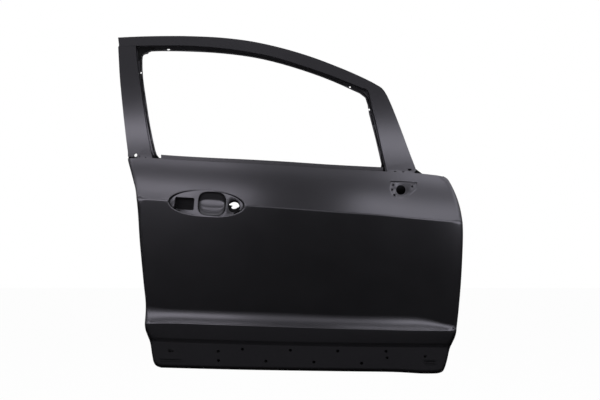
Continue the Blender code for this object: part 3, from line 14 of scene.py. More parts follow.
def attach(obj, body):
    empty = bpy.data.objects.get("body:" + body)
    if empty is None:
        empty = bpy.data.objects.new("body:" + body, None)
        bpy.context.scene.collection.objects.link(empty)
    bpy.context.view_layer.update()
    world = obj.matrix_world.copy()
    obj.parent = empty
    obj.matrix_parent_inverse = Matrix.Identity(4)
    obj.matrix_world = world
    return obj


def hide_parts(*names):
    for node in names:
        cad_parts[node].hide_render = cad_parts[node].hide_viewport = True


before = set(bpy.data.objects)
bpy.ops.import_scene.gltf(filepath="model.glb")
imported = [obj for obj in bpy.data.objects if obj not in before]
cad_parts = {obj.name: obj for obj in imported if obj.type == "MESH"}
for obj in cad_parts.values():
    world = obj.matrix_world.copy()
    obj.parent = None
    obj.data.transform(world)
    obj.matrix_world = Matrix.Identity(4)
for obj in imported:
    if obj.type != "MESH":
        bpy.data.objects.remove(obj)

# From the door's own coordinates to the row frame
SHIFT = Vector((-1.061176, -0.100581, -0.2192))

# Camera in door coordinates, half the width it sees at the door, and the photograph's scale and middle there
CAMERA = (0.6014, -4.5, 0.5539)
VIEW_HALF_WIDTH = 0.9492
PIXEL_SIZE = 3.164e-3
IMAGE_CENTRE = (300, 200)

# Meshing: columns of the skin, parts per span of its edge and of the window frame, points of holes, and the
# distances that points keep from each other, from the edges, and under which they merge
SKIN_COLUMNS = 60
EDGE_PARTS = 5
FRAME_PARTS = 4
WINDOW_FOOT_PARTS = 9
SMALL_HOLE_POINTS = 16
SMALL_SLOT_ARC = 4
POINT_SPACING = 0.0018
ROW_MARGIN = 0.004
BELT_ROW_MARGIN = 0.006
MERGE_DISTANCE = 1e-5
WELD_DISTANCE = 1e-6

# Angles in degrees past which an edge stays sharp: sheets, the skin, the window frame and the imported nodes
SHEET_ANGLE = 35
SKIN_ANGLE = 50
FRAME_ANGLE = 60
NODE_ANGLE = 30

# Reach over which the press rounds the skin's creases, and the taps (place, weight) that average it
CREASE_SOFT = 0.0034
CREASE_TAPS = ((-1.0, 1), (-0.5, 2), (0.0, 3), (0.5, 2), (1.0, 1))

# Rings of the finger cup from its rim down: width and height as shares of the cup's, rise of the centre as a
# share of its half height, and sunk as a share of its depth. The first ring keeps the pad flat round the rim.
CUP_RINGS = (
    (1.012, 1.008, 0.0, 0.0), (1.0, 1.0, 0.0, 0.0), (0.985, 0.975, 0.0, 0.05), (0.97, 0.93, -0.005, 0.15),
    (0.955, 0.86, -0.01, 0.29), (0.94, 0.75, -0.02, 0.44), (0.925, 0.63, -0.02, 0.57),
    (0.905, 0.51, -0.01, 0.69), (0.88, 0.38, 0.0, 0.8), (0.85, 0.25, 0.02, 0.87),
)
CUP_RING_POINTS = 64
CUP_CORNER_POWER = 0.62

# Rings of the handle recess: shares of the rim's width, how much faster its ends taper, and the ring round it
HANDLE_RIM_STEPS = (0.16, 0.34, 0.52, 0.7, 0.86, 1.0)
HANDLE_RIM_END_FACTOR = 1.6
HANDLE_GUARD = 0.0018
HANDLE_RING_POINTS = 72
HANDLE_KEEP_OUT = (0.007, 0.005)
HANDLE_KEEP_OUT_POINTS = 48

# Rear slot of the handle, and the rings of the closed pocket behind it: growth, corner, way to the back
SLOT_GROWTH = 0.009
SLOT_ARC = 5
POCKET_DEPTH = 0.042
POCKET_RINGS = (
    (0.003, 0.005, None), (0.003, 0.005, 0.004), (0.0018, 0.005, 0.001), (-0.001, 0.005, 0.0),
    (-0.012, 0.002, 0.0),
)

# Front bore of the handle and the notched lock plate behind it (mm round its own middle)
BORE_SHIFT = (-0.001, -0.004)
BORE_GUARD = 0.0012
BORE_SUNK = 0.001
BORE_RING_POINTS = 32
LOCK_PLATE_DEPTH = 0.014
LOCK_PLATE_RINGS = ((0.002, 0.003), (0.001, LOCK_PLATE_DEPTH))
LOCK_HOLE_DROP = 0.0005
LOCK_HOLE_PARTS = 3
LOCK_HOLE = (
    (-18, 3.2), (-8.5, 8.5), (-1, 10.6), (9.5, 7.4), (14.8, -1), (12.7, -5.3), (7.4, -7.4), (5.3, -9.5),
    (-3.2, -11.2), (-9.1, -9.5), (-10, -5.3), (-6.4, -1.5), (-15.9, 1),
)

# Holes in the lip of the window frame and at the feet of its pillars: pixel, depth, width and height
THROUGH_HOLES = (
    (135.7, 155.1, 0.06, 0.011, 0.011), (168.2, 49.2, 0.155, 0.01, 0.0056),
    (140.9, 72.7, 0.135, 0.006, 0.006), (350.0, 87.0, 0.125, 0.006, 0.006),
    (369.2, 109.6, 0.105, 0.006, 0.006),
)
FOOT_HOLES = (
    (409.6, 169.7, 0.06, 0.013, 0.007), (395.0, 171.6, 0.06, 0.008, 0.004),
    (403.0, 172.0, 0.06, 0.008, 0.004), (139.8, 156.6, 0.06, 0.004, 0.004),
    (145.9, 157.6, 0.06, 0.004, 0.004),
)
CUTTER_REACH = (0.0, 0.24)

# Two short grooves near the sill: ends, height, and inset and depth of their rings
GROOVES = (((0.1578, 0.0448), (0.223, 0.0448)), ((0.997, 0.0372), (1.033, 0.0372)))
GROOVE_HEIGHT = 0.0042
GROOVE_STEPS = ((0.0, 0.0), (0.0011, 0.0004), (0.0016, 0.0005))
GROOVE_ROUNDNESS = 2.01
GROOVE_KEEP_OUT = (0.006, 0.01, 0.004)

# Lamps in door coordinates: place, height of what it faces, width, height, watts and colour
LAMPS = (
    ((-0.05, -0.4, 1.05), 0.96, 1.0, 0.14, 3.0, (1.0, 0.985, 1.0)),
    ((1.3, -0.4, 1.01), 0.92, 0.9, 0.18, 3.0, (0.985, 0.985, 1.0)),
    ((-0.06, -0.7, 0.68), 0.6, 0.84, 0.36, 4.9, (1.0, 0.985, 1.0)),
    ((0.69, -0.7, 0.68), 0.6, 0.64, 0.36, 0.9, (1.0, 1.0, 1.0)),
    ((1.35, -0.7, 0.68), 0.6, 0.66, 0.36, 3.9, (0.985, 0.985, 1.0)),
    ((0.6, -0.1, 2.3), 0.4, 2.4, 0.36, 6.0, (1.0, 1.0, 1.0)),
    ((0.6, 2.2, 2.6), 0.6, 1.6, 1.0, 34.0, (1.0, 1.0, 1.0)),
)

# Cards that only reflections show: ends in x, (y, z) of both long edges, and brightness
CARDS = (
    (-2.6, 3.8, (-1.2, -0.05), (-1.2, 0.44), 0.0),
    (-2.6, 3.8, (-0.55, -0.27), (0.0, -0.27), 0.0),
    (-2.6, 3.8, (-2.2, -0.27), (-0.55, -0.27), 0.3),
    (-2.6, 3.8, (0.02, -0.27), (1.5, -0.27), 0.45),
    (-4.0, 5.2, (-1.7, -0.1), (-1.7, 5.0), 0.55),
)

# Room light, and the floor: its extent, colour, and the share of it that the camera sees as plain white
ROOM_LEVEL = 0.35
FLOOR = (-6, 7, (-7, -0.28), (9, -0.28))
FLOOR_COLOUR = (0.85, 0.85, 0.85)
FLOOR_CAMERA_SHARE = 0.97

# Coats: dark tone, light tone, roughness, strength of the orange peel, and specular level
COATS = {
    "skin_e_coat": ((0.0012, 0.0012, 0.0013), (0.0022, 0.0022, 0.0023), 0.29, 0.015, 0.5),
    "frame_e_coat": ((0.0022, 0.0022, 0.0024), (0.0036, 0.0036, 0.0039), 0.3, 0.02, 0.5),
    "inner_e_coat": ((0.0036, 0.0035, 0.0036), (0.0058, 0.0056, 0.0057), 0.48, 0.06, 0.38),
    # The last coat is the same e-coat made near black and dull: painted shade for the slot's pocket, the lock
    # plate and the corner gusset
    "painted_shade_e_coat": ((0.001, 0.001, 0.001), (0.0018, 0.0018, 0.0018), 0.6, 0.1, 0.1),
}
COAT_TINT = (0.9, 0.88, 1.0)
COAT_DUST = (0.075, 0.075, 0.08)
ROUGHNESS_DRIFT = 0.012


def spot(px, py, depth):
    """Where a pixel of the photograph lies on the side view, at this depth."""
    scale = PIXEL_SIZE * (1 - depth / CAMERA[1])
    return (px - IMAGE_CENTRE[0]) * scale + CAMERA[0], (IMAGE_CENTRE[1] - py) * scale + CAMERA[2]


# Overall size of the door, seen from outside
DOOR_LENGTH = 1.12
DOOR_HEIGHT = 1.096

# Sheet thicknesses, and the gap between sheets that are welded together
SKIN_SHEET = 0.0008
INNER_SHEET = 0.0008
FRAME_SHEET = 0.001
BRACE_SHEET = 0.0012
SEAM_GAP = 0.0003
HEM_SEAM_GAP = 0.0006
BRACKET_GAP = 0.0009

# Section of the skin, inboard of the character line
SHOULDER_DEPTH = 0.042
BODY_TUCK = 0.02
FLARE_STAND = 0.002
FLARE_HEIGHT = 0.045
ROCKER_TUCK = 0.012
CLADDING_JOGGLE = 0.004
CLADDING_JOGGLE_RUN = 0.011
CLADDING_TUCK = 0.023
REAR_CROWN = 0.012
FRONT_CROWN = 0.022
CROWN_PEAK_SHARE = 0.45
SHOULDER_SLOPE_SHARE = 0.25

# Hem that folds the skin round the inner panel
HEM_WIDTH = 0.01
FLANGE_WIDTH = 0.012

# Rise of the window's lower edge above the belt
BELT_EDGE_RISE = 0.003

# Window frame: lean of the glass, its barrel radius, and the box section
SASH_LEAN_SHARE = 0.19
GLASS_RADIUS = 1.67
SASH_CLEARANCE = 0.0006
CHANNEL_DEPTH = 0.016
CHANNEL_DRAFT = 0.0007
LIP_WIDTH = 0.006
FRAME_RETURN = 0.016
FRAME_RETURN_DRAFT = 0.0005
LEG_DROP = 0.014
LEG_SHOULDER = 0.0055
LEG_NOTCH_FACTOR = 2.5
FRAME_JOINT_GAP = 0.001

# Handle recess: an ellipse with two pads and a finger cup
HANDLE_CENTRE = (0.2722 * DOOR_LENGTH, 0.4953 * DOOR_HEIGHT)
HANDLE_HALF_LENGTH = 0.1225
HANDLE_HALF_HEIGHT = 0.0445
HANDLE_TILT = math.radians(-3.6)
HANDLE_RIM_WIDTH = 0.005
HANDLE_PAD_DEPTH = 0.0125
HANDLE_PAD_SLOPE_SHARE = 0.18
CUP_CENTRE = 0.017
CUP_HALF_LENGTH = 0.045
CUP_HALF_HEIGHT = 0.0385
CUP_DEPTH = 0.017
HANDLE_SLOT_CENTRE = -0.07
HANDLE_SLOT_LENGTH = 0.061
HANDLE_SLOT_HEIGHT = 0.03
HANDLE_SLOT_CORNER = 0.004
HANDLE_BORE_CENTRE = 0.0887
HANDLE_BORE_RADIUS = 0.0195
HANDLE_BRACE_MARGIN = 0.009
HANDLE_BRACE_WINDOW_MARGIN = 0.002
HANDLE_BRACE_CREASE_STEPS = 24

# Mirror seat, its rim, and its bore with a collar pressed inboard: growth and depth of the collar's rings
MIRROR_RECESS = 0.005
MIRROR_GUARD = 0.0012
MIRROR_RIM_WIDTH = 0.005
MIRROR_RIM_PARTS = 5
MIRROR_RIM_STEPS = (0.2, 0.4, 0.6, 0.8, 1.0)
MIRROR_BORE_POINTS = 40
MIRROR_BORE_SUNK = 0.0012
MIRROR_BORE_RINGS = ((0.0045, 0.0), (0.003, MIRROR_BORE_SUNK))
MIRROR_BORE_CENTRE = (0.8247 * DOOR_LENGTH, 0.5346 * DOOR_HEIGHT)
MIRROR_BORE_RADIUS = 0.0155
MIRROR_SCREW_RADIUS = 0.0035

# Holes for the cladding clips
CLIP_HOLE_RADIUS = 0.005
CLIP_SLOT_CENTRE = (0.1704 * DOOR_LENGTH, 0.068 * DOOR_HEIGHT)
CLIP_SLOT_LENGTH = 0.018
CLIP_SLOT_HEIGHT = 0.009
CLIP_SLOT_CORNER = CLIP_SLOT_HEIGHT / 3

# Edges of the skin as shares of the door's length and height, anticlockwise from the rear end of the belt
REAR_EDGE_SHARES = (
    (0.045, 0.627), (0.047, 0.614), (0.0616, 0.5636), (0.071, 0.5286), (0.077, 0.476), (0.082, 0.383),
    (0.092, 0.267), (0.098, 0.206), (0.0971, 0.1475),
)
REAR_FOOT_SHARES = (
    (0.0971, 0.1475), (0.0995, 0.127), (0.111, 0.093), (0.1165, 0.056), (0.121, 0.034), (0.129, 0.023),
    (0.142, 0.018),
)
SILL_SHARES = (
    (0.142, 0.018), (0.372, 0.0125), (0.656, 0.0076), (0.8, 0.005), (0.884, 0.0), (0.928, 0.0),
)
FRONT_FOOT_SHARES = (
    (0.928, 0.0), (0.9417, 0.0044), (0.949, 0.015), (0.9562, 0.0394), (0.964, 0.0748), (0.977, 0.105),
    (0.9815, 0.1255),
)
FRONT_EDGE_SHARES = (
    (0.9815, 0.1255), (0.9876, 0.1795), (0.9948, 0.2669), (0.999, 0.3543), (1.0, 0.415), (0.9971, 0.4589),
    (0.991, 0.4937), (0.9795, 0.5287), (0.9619, 0.5638), (0.9463, 0.5756),
)
BELT_SHARES = (
    (0.045, 0.627), (0.108, 0.628), (0.165, 0.6237), (0.28, 0.617), (0.394, 0.6116), (0.508, 0.605),
    (0.623, 0.597), (0.766, 0.5895), (0.869, 0.584), (0.9463, 0.5756),
)

# Lines across the skin
CHARACTER_SHARES = (
    (0.05, 0.511), (0.14, 0.506), (0.268, 0.4984), (0.396, 0.4895), (0.537, 0.4794), (0.65, 0.4707),
    (0.763, 0.4626), (0.877, 0.4515), (0.994, 0.4416),
)
FLARE_TOP_SHARES = (
    (0.096, 0.2), (0.17, 0.192), (0.34, 0.186), (0.51, 0.1806), (0.68, 0.1732), (0.85, 0.17), (0.907, 0.162),
    (0.98, 0.14),
)
FLARE_CREASE_SHARES = (
    (0.0971, 0.1475), (0.17, 0.1489), (0.34, 0.1436), (0.51, 0.1377), (0.68, 0.132), (0.85, 0.1276),
    (0.9815, 0.1255),
)
STEP_SHARES = (
    (0.106, 0.1065), (0.253, 0.1011), (0.509, 0.094), (0.764, 0.0893), (0.978, 0.0869),
)

# Window frame: outer edge of the header and front pillar, and the inner edge of its face, station by station
HEADER_EDGE_SHARES = (
    (0.0023, 0.9938), (0.064, 0.9965), (0.148, 0.998), (0.22, 0.9973), (0.308, 0.9926), (0.396, 0.981),
    (0.484, 0.9605), (0.572, 0.9327), (0.659, 0.8978), (0.717, 0.8712), (0.76, 0.848), (0.78, 0.8318),
    (0.7982, 0.7954), (0.8246, 0.7233), (0.849, 0.6521), (0.868, 0.599),
)
HEADER_FACE_SHARES = (
    (0.007, 0.9655), (0.066, 0.9672), (0.144, 0.968), (0.216, 0.9672), (0.296, 0.961), (0.378, 0.95),
    (0.46, 0.9325), (0.54, 0.907), (0.62, 0.8785), (0.675, 0.856), (0.714, 0.8395), (0.7345, 0.829),
    (0.745, 0.781), (0.759, 0.72), (0.772, 0.654), (0.785, 0.596),
)
HEADER_CHANNEL_START = 1
PILLAR_EDGE_SHARES = (
    (0.0036, 0.9652), (0.0077, 0.9228), (0.013, 0.87), (0.0203, 0.8127), (0.0351, 0.7049), (0.044, 0.645),
)
PILLAR_FACE_SHARES = (
    (0.056, 0.9662), (0.061, 0.9228), (0.069, 0.875), (0.08, 0.8127), (0.0982, 0.7049), (0.111, 0.645),
)

# Edge of the window opening from its rear foot up, along the header and down to its front foot
WINDOW_SHARES = (
    (0.1293, 0.6339), (0.1224, 0.6516), (0.1061, 0.7226), (0.0933, 0.7944), (0.081, 0.8673), (0.0767, 0.9227),
    (0.08, 0.939), (0.092, 0.9425), (0.102, 0.95), (0.163, 0.9508), (0.221, 0.9492), (0.28, 0.9461),
    (0.338, 0.9405), (0.397, 0.9319), (0.455, 0.919), (0.514, 0.9018), (0.572, 0.882), (0.63, 0.8592),
    (0.688, 0.8319), (0.7261, 0.8084), (0.7364, 0.759), (0.7536, 0.6874), (0.77, 0.61),
)

# Stations of the window edge between which the channel of the rear pillar ends and that of the header starts
PILLAR_CHANNEL_END = 5
HEADER_CHANNEL_FIRST = 8

MIRROR_SEAT_SHARES = (
    (0.796, 0.562), (0.864, 0.559), (0.8715, 0.554), (0.872, 0.54), (0.856, 0.523), (0.832, 0.511),
    (0.808, 0.513), (0.794, 0.53), (0.792, 0.556),
)
MIRROR_SCREW_SHARES = ((0.8029, 0.5493), (0.7995, 0.5358), (0.806, 0.52), (0.8573, 0.5449))

CLIP_HOLE_SHARES = (
    (0.3049, 0.0666), (0.3055, 0.0398), (0.3737, 0.073), (0.4403, 0.0378), (0.5094, 0.0698), (0.5765, 0.0352),
    (0.6442, 0.0674), (0.7121, 0.0314), (0.7815, 0.066), (0.7841, 0.047), (0.8936, 0.0509),
)


def placed(shares):
    """Points on the door's side view, as (x, z), from shares of its length and height."""
    return [(x * DOOR_LENGTH, z * DOOR_HEIGHT) for x, z in shares]


def smooth(points, parts):
    """A smooth curve through the points, each span cut into equal parts."""
    found = []
    last = len(points) - 1
    for i in range(last):
        before, start, end, after = (Vector(points[min(max(k, 0), last)]) for k in (i - 1, i, i + 1, i + 2))
        for part in range(parts):
            t = part / parts
            found.append(tuple(
                0.5 * (2 * start + (end - before) * t
                       + (2 * before - 5 * start + 4 * end - after) * t ** 2
                       + (3 * start - before - 3 * end + after) * t ** 3)
            ))
    return found + [tuple(points[-1])]


def line_through(shares):
    """Height as a smooth function of x, through points in order of x, straight beyond its ends."""
    points = placed(shares)
    last = len(points) - 1

    def slope(k):
        (x0, z0), (x1, z1) = points[max(k - 1, 0)], points[min(k + 1, last)]
        return (z1 - z0) / (x1 - x0)

    def height(x):
        if x <= points[0][0]:
            return points[0][1] + slope(0) * (x - points[0][0])
        if x >= points[last][0]:
            return points[last][1] + slope(last) * (x - points[last][0])
        k = max(i for i in range(last) if points[i][0] <= x)
        (x0, z0), (x1, z1) = points[k], points[k + 1]
        span = x1 - x0
        t = (x - x0) / span
        return ((2 * t ** 3 - 3 * t ** 2 + 1) * z0 + (t ** 3 - 2 * t ** 2 + t) * span * slope(k)
                + (3 * t ** 2 - 2 * t ** 3) * z1 + (t ** 3 - t ** 2) * span * slope(k + 1))

    return height


belt = line_through(BELT_SHARES)
character = line_through(CHARACTER_SHARES)
flare_top = line_through(FLARE_TOP_SHARES)
flare_crease = line_through(FLARE_CREASE_SHARES)
step_top = line_through(STEP_SHARES)
sill = line_through(SILL_SHARES)


def step_foot(x):
    """Height of the foot of the joggle above the cladding zone."""
    return step_top(x) - CLADDING_JOGGLE_RUN


CREASES = (character, flare_top, flare_crease, step_top, step_foot)

# Distances of the skin's mesh rows from the lines that they run beside
ROW_OFFSETS = {
    belt: (0.0,),
    character: (-0.0055, -0.0034, -0.0017, 0.0017, 0.0034, 0.0055),
    flare_top: (-0.0045, -0.0022, 0.0022, 0.005),
    flare_crease: (-0.005, -0.003, -0.0015, 0.0015, 0.003, 0.005),
    step_top: (0.0013, 0.0026, 0.004),
    step_foot: (-0.0013, -0.0026, -0.004),
    sill: (0.0,),
}


def crown(x):
    """How far the skin curves inboard towards both ends of the door, seen from above."""
    peak = CROWN_PEAK_SHARE * DOOR_LENGTH
    if x < peak:
        return REAR_CROWN * ((peak - x) / peak) ** 2
    return FRONT_CROWN * ((x - peak) / (DOOR_LENGTH - peak)) ** 2


def section(x, z):
    """Depth of the skin's section inboard of the character line, without the crown."""
    if z >= character(x):
        s = (z - character(x)) / (belt(x) - character(x))
        curve = 1 - (1 - min(s, 1)) ** 2
        return SHOULDER_DEPTH * (SHOULDER_SLOPE_SHARE * s + (1 - SHOULDER_SLOPE_SHARE) * curve)
    band = flare_top(x) - flare_crease(x)
    tuck = FLARE_STAND + (BODY_TUCK - FLARE_STAND) * min(band / FLARE_HEIGHT, 1)
    if z >= flare_top(x):
        t = (character(x) - z) / (character(x) - flare_top(x))
        return tuck * (1 - (1 - t) ** 2)
    if z >= flare_crease(x):
        return tuck + (FLARE_STAND - tuck) * ((flare_top(x) - z) / band) ** 2
    if z >= step_top(x):
        t = (flare_crease(x) - z) / (flare_crease(x) - step_top(x))
        return FLARE_STAND + (ROCKER_TUCK - FLARE_STAND) * t
    if z >= step_foot(x):
        return ROCKER_TUCK + CLADDING_JOGGLE * (step_top(x) - z) / CLADDING_JOGGLE_RUN
    t = (step_foot(x) - z) / (step_foot(x) - sill(x))
    return ROCKER_TUCK + CLADDING_JOGGLE + (CLADDING_TUCK - ROCKER_TUCK - CLADDING_JOGGLE) * t


def behind_skin(x, z, distance):
    """Depth of a surface that lies this far behind the skin's outer face, square to it."""
    reach = LIP_WIDTH / 4
    rise = (skin_depth(x, z + reach) - skin_depth(x, z - reach)) / (2 * reach)
    run = (skin_depth(x + reach, z) - skin_depth(x - reach, z)) / (2 * reach)
    return skin_depth(x, z) + distance * math.sqrt(1 + rise ** 2 + run ** 2)


def sash_depth(x, z):
    """Depth of the outer face of the window frame, which leans inboard like the glass."""
    rise = max(z - belt(x), 0)
    foot = SHOULDER_DEPTH + crown(x) + SKIN_SHEET + SASH_CLEARANCE
    return foot + SASH_LEAN_SHARE * rise + rise ** 2 / (2 * GLASS_RADIUS)


def shifted(points, distance, closed=False):
    """The line moved to its left, which is inwards on a loop that runs anticlockwise, with mitred corners."""
    flat = [Vector(p[:2]) for p in points]
    count = len(flat)
    found = []
    for i in range(count):
        before = flat[i - 1] if closed or i else flat[i]
        after = flat[(i + 1) % count] if closed or i < count - 1 else flat[i]
        sides = [v.normalized() for v in (flat[i] - before, after - flat[i]) if v.length > 0]
        normals = [Vector((-v.y, v.x)) for v in sides]
        total = sum(normals, Vector((0, 0)))
        found.append(tuple(flat[i] + total * (distance * len(normals) / total.length_squared)))
    return found


def along_edge(edge, distance):
    """The skin's free edge moved inwards, with its crease points kept on their creases."""
    moved = shifted(edge, distance)
    return [(x, crease(x) if crease else z, crease) for (x, z), (_, _, crease) in zip(moved, edge)]


def turned(centre, u, v, tilt):
    """The point u along and v across a direction tilted from the X axis."""
    return (centre[0] + u * math.cos(tilt) - v * math.sin(tilt),
            centre[1] + u * math.sin(tilt) + v * math.cos(tilt))


def ring_points(centre, half_length, half_height, count, tilt=0.0, power=1.0):
    """Points of an ellipse, or with a power under 1 of a squarer loop, anticlockwise."""
    found = []
    for i in range(count):
        a = math.tau * i / count
        u = half_length * math.copysign(abs(math.cos(a)) ** power, math.cos(a))
        v = half_height * math.copysign(abs(math.sin(a)) ** power, math.sin(a))
        found.append(turned(centre, u, v, tilt))
    return found


def circle(centre, radius, count):
    """Points of a circle, anticlockwise."""
    return ring_points(centre, radius, radius, count)


def rounded_slot(centre, length, height, corner, tilt=0.0, arc=3):
    """A rectangle with round corners, anticlockwise."""
    found = []
    for quarter, (sx, sz) in enumerate(((1, 1), (-1, 1), (-1, -1), (1, -1))):
        for k in range(arc + 1):
            a = math.pi / 2 * (quarter + k / arc)
            u = sx * (length / 2 - corner) + corner * math.cos(a)
            v = sz * (height / 2 - corner) + corner * math.sin(a)
            found.append(turned(centre, u, v, tilt))
    return found


def on_surface(points, depth, sunk=0.0):
    """The points with the depth of a surface, or of one this far behind it."""
    return [(x, z, depth(x, z) + sunk) for x, z in points]


def pressed(points, depth, share):
    """The points with a depth that goes from the skin's to another surface's by this share."""
    return [(x, z, skin_depth(x, z) + (depth(x, z) - skin_depth(x, z)) * share) for x, z in points]


def inside(point, loop):
    """Whether the point lies inside the loop."""
    x, z = point[:2]
    found = False
    for i in range(len(loop)):
        (x0, z0), (x1, z1) = loop[i - 1][:2], loop[i][:2]
        if (z0 > z) != (z1 > z) and x < x0 + (z - z0) / (z1 - z0) * (x1 - x0):
            found = not found
    return found


def loft(mesh, rows, closed=False):
    """Adds quads between rows of points, which may be vertices of the mesh already."""
    made = [[p if isinstance(p, bmesh.types.BMVert) else mesh.verts.new(p) for p in row] for row in rows]
    for low, high in zip(made, made[1:]):
        count = len(low)
        for i in range(count if closed else count - 1):
            k = (i + 1) % count
            mesh.faces.new((low[i], low[k], high[k], high[i]))
    return made


def handle_point(u, v):
    """A point of the handle recess on the side view, from its own length and height axes."""
    return turned(HANDLE_CENTRE, u, v, HANDLE_TILT)


def handle_ellipse(longer, higher, count=HANDLE_RING_POINTS):
    """The outline of the handle recess with its half axes grown."""
    half_length, half_height = HANDLE_HALF_LENGTH + longer, HANDLE_HALF_HEIGHT + higher
    return ring_points(HANDLE_CENTRE, half_length, half_height, count, HANDLE_TILT)


def handle_pad_depth(x, z):
    """Depth of the sloping floor on which the handle's two ends sit."""
    x0, z0 = HANDLE_CENTRE
    v = (z - z0) * math.cos(HANDLE_TILT) - (x - x0) * math.sin(HANDLE_TILT)
    return crown(x) + HANDLE_PAD_DEPTH + HANDLE_PAD_SLOPE_SHARE * v


def mirror_plane():
    """Depth of the mirror's flat seat: its lower edge is flush with the skin and its top is recessed."""
    loop = placed(MIRROR_SEAT_SHARES)
    low = min(loop, key=lambda p: p[1])
    high = max(loop, key=lambda p: p[1])
    rear = min(loop, key=lambda p: p[0])
    foot = behind_skin(*low, SEAM_GAP)
    lean = (behind_skin(*high, MIRROR_RECESS) - foot) / (high[1] - low[1])
    sweep = (crown(high[0]) - crown(rear[0])) / (high[0] - rear[0])
    return lambda x, z: foot + lean * (z - low[1]) + sweep * (x - low[0])


def broken(run, loop):
    """The line in pieces, without its part inside the loop."""
    pieces, piece, before = [], [], run[0]
    for point in run:
        if not inside(point, loop):
            piece.append(point)
        elif piece:
            pieces.append(piece + [crossing(piece[-1], point, loop)])
            piece = []
        last = point
        if piece == [point] and pieces:
            piece = [crossing(point, before, loop), point]
        before = last
    return pieces + [piece]


def crossing(outer, inner, loop):
    """Where the segment from outside to inside a loop meets it."""
    for i in range(len(loop)):
        a, b = Vector(loop[i - 1]), Vector(loop[i])
        found = intersect_line_line_2d(Vector(outer), Vector(inner), a, b)
        if found:
            return tuple(found)
    return outer


def fold_hem(mesh, radius, edge, flange):
    """Folds the skin's free edge back behind itself, leaving room for the inner panel's flange."""
    run = edge_run(mesh, edge[0][:2], edge[-1][:2])
    outwards = shifted(edge, -radius)
    rows = [run, [], [], []]
    for (x, z, _), (x1, z1, _), (x2, z2) in zip(edge, flange, outwards):
        rows[1].append((x2, behind_skin(x, z, radius), z2))
        back = Vector((x, behind_skin(x, z, 2 * radius), z))
        rows[2].append(back)
        rows[3].append(back.lerp(Vector((x1, behind_skin(x1, z1, 2 * radius), z1)), HEM_WIDTH / FLANGE_WIDTH))
    loft(mesh, [row[::-1] for row in rows])


def edge_run(mesh, rear, front):
    """Vertices of the sheet's edge from its rear belt corner round the bottom to its front belt corner."""
    loose = {e for e in mesh.edges if e.is_boundary}
    loop = [min((v for e in loose for v in e.verts), key=lambda v: v.co.x)]
    while loop[-1] is not loop[0] or len(loop) == 1:
        way = next(e for e in loop[-1].link_edges if e in loose)
        loose.discard(way)
        loop.append(way.other_vert(loop[-1]))
    loop.pop()

    def nearest(point):
        return min(range(len(loop)), key=lambda i: math.dist((loop[i].co.x, loop[i].co.z), point))

    start, end = nearest(rear), nearest(front)
    ways = (loop[start:] + loop[:start], loop[start::-1] + loop[:start:-1])
    runs = [way[:way.index(loop[end]) + 1] for way in ways]
    return min(runs, key=lambda run: min(v.co.z for v in run))


def skin_depth(x, z):
    """Depth of the skin's outer face, with its creases rounded as the press leaves them."""
    total = sum(weight * section(x, z + reach * CREASE_SOFT) for reach, weight in CREASE_TAPS)
    return total / sum(weight for _, weight in CREASE_TAPS) + crown(x)


def ease(t):
    """A smooth step from 0 to 1."""
    return t * t * (3 - 2 * t)


def skin_edge():
    """The skin's free edge round the bottom from its rear belt corner, with the crease each point lies on.

    Plain points that lie too near a crease point are left out.
    """
    runs = [placed(s) for s in (REAR_EDGE_SHARES, REAR_FOOT_SHARES, SILL_SHARES, FRONT_FOOT_SHARES,
                                FRONT_EDGE_SHARES)]
    points = []
    for run in runs:
        points += smooth(run, EDGE_PARTS)[:-1]
    points.append(runs[-1][-1])
    found = []
    for start, end in zip(points, points[1:]):
        found.append((*start, None))
        crossings = []
        for crease in CREASES:
            low, high = start[1] - crease(start[0]), end[1] - crease(end[0])
            if low * high < 0 or low == 0:
                crossings.append((low / (low - high), crease))
        for t, crease in sorted(crossings, key=lambda c: c[0]):
            found.append((start[0] + t * (end[0] - start[0]), start[1] + t * (end[1] - start[1]), crease))
    found.append((*points[-1], None))
    marked = [Vector(p[:2]) for p in found if p[2]]
    return [p for p in found if p[2] or p in (found[0], found[-1])
            or all((Vector(p[:2]) - m).length > POINT_SPACING for m in marked)]


def sheet_mesh(outline, holes, lines, depth):
    """A triangulated sheet through points (x, z), or (x, z, depth) where one has a depth of its own."""
    flat, edges, depths = [], [], []

    def add(run, closed):
        start = len(flat)
        for p in run:
            flat.append(Vector(p[:2]))
            depths.append(p[2] if len(p) > 2 else depth(*p))
        edges.extend((start + i, start + i + 1) for i in range(len(run) - 1))
        if closed:
            edges.append((len(flat) - 1, start))

    for loop in [outline] + holes:
        add(loop, True)
    for line, closed in lines:
        add(line, closed)
    verts, _, faces, sources, _, _ = delaunay_2d_cdt(flat, edges, [], 0, MERGE_DISTANCE, True)
    boxes = [(min(p[0] for p in h), max(p[0] for p in h), min(p[1] for p in h), max(p[1] for p in h), h)
             for h in holes]
    mesh = bmesh.new()
    made = [mesh.verts.new((v.x, depths[s[0]] if s else depth(v.x, v.y), v.y))
            for v, s in zip(verts, sources)]
    for face in faces:
        middle = sum((verts[i] for i in face), Vector((0, 0))) / len(face)
        if any(b[0] < middle.x < b[1] and b[2] < middle.y < b[3] and inside(middle, b[4]) for b in boxes):
            continue
        if inside(middle, outline):
            corners = [made[i] for i in face]
            flat_corners = [verts[i] for i in face]
            turn = (flat_corners[1] - flat_corners[0]).cross(flat_corners[2] - flat_corners[0])
            mesh.faces.new(corners if turn > 0 else corners[::-1])
    bmesh.ops.delete(mesh, geom=[v for v in made if not v.link_faces], context="VERTS")
    return mesh


def mesh_data(name, mesh):
    """The working mesh as mesh data of this name."""
    data = bpy.data.meshes.new(name)
    mesh.to_mesh(data)
    mesh.free()
    return data


def new_object(name, data):
    """An object of this data, linked to the scene."""
    item = bpy.data.objects.new(name, data)
    bpy.context.scene.collection.objects.link(item)
    return item


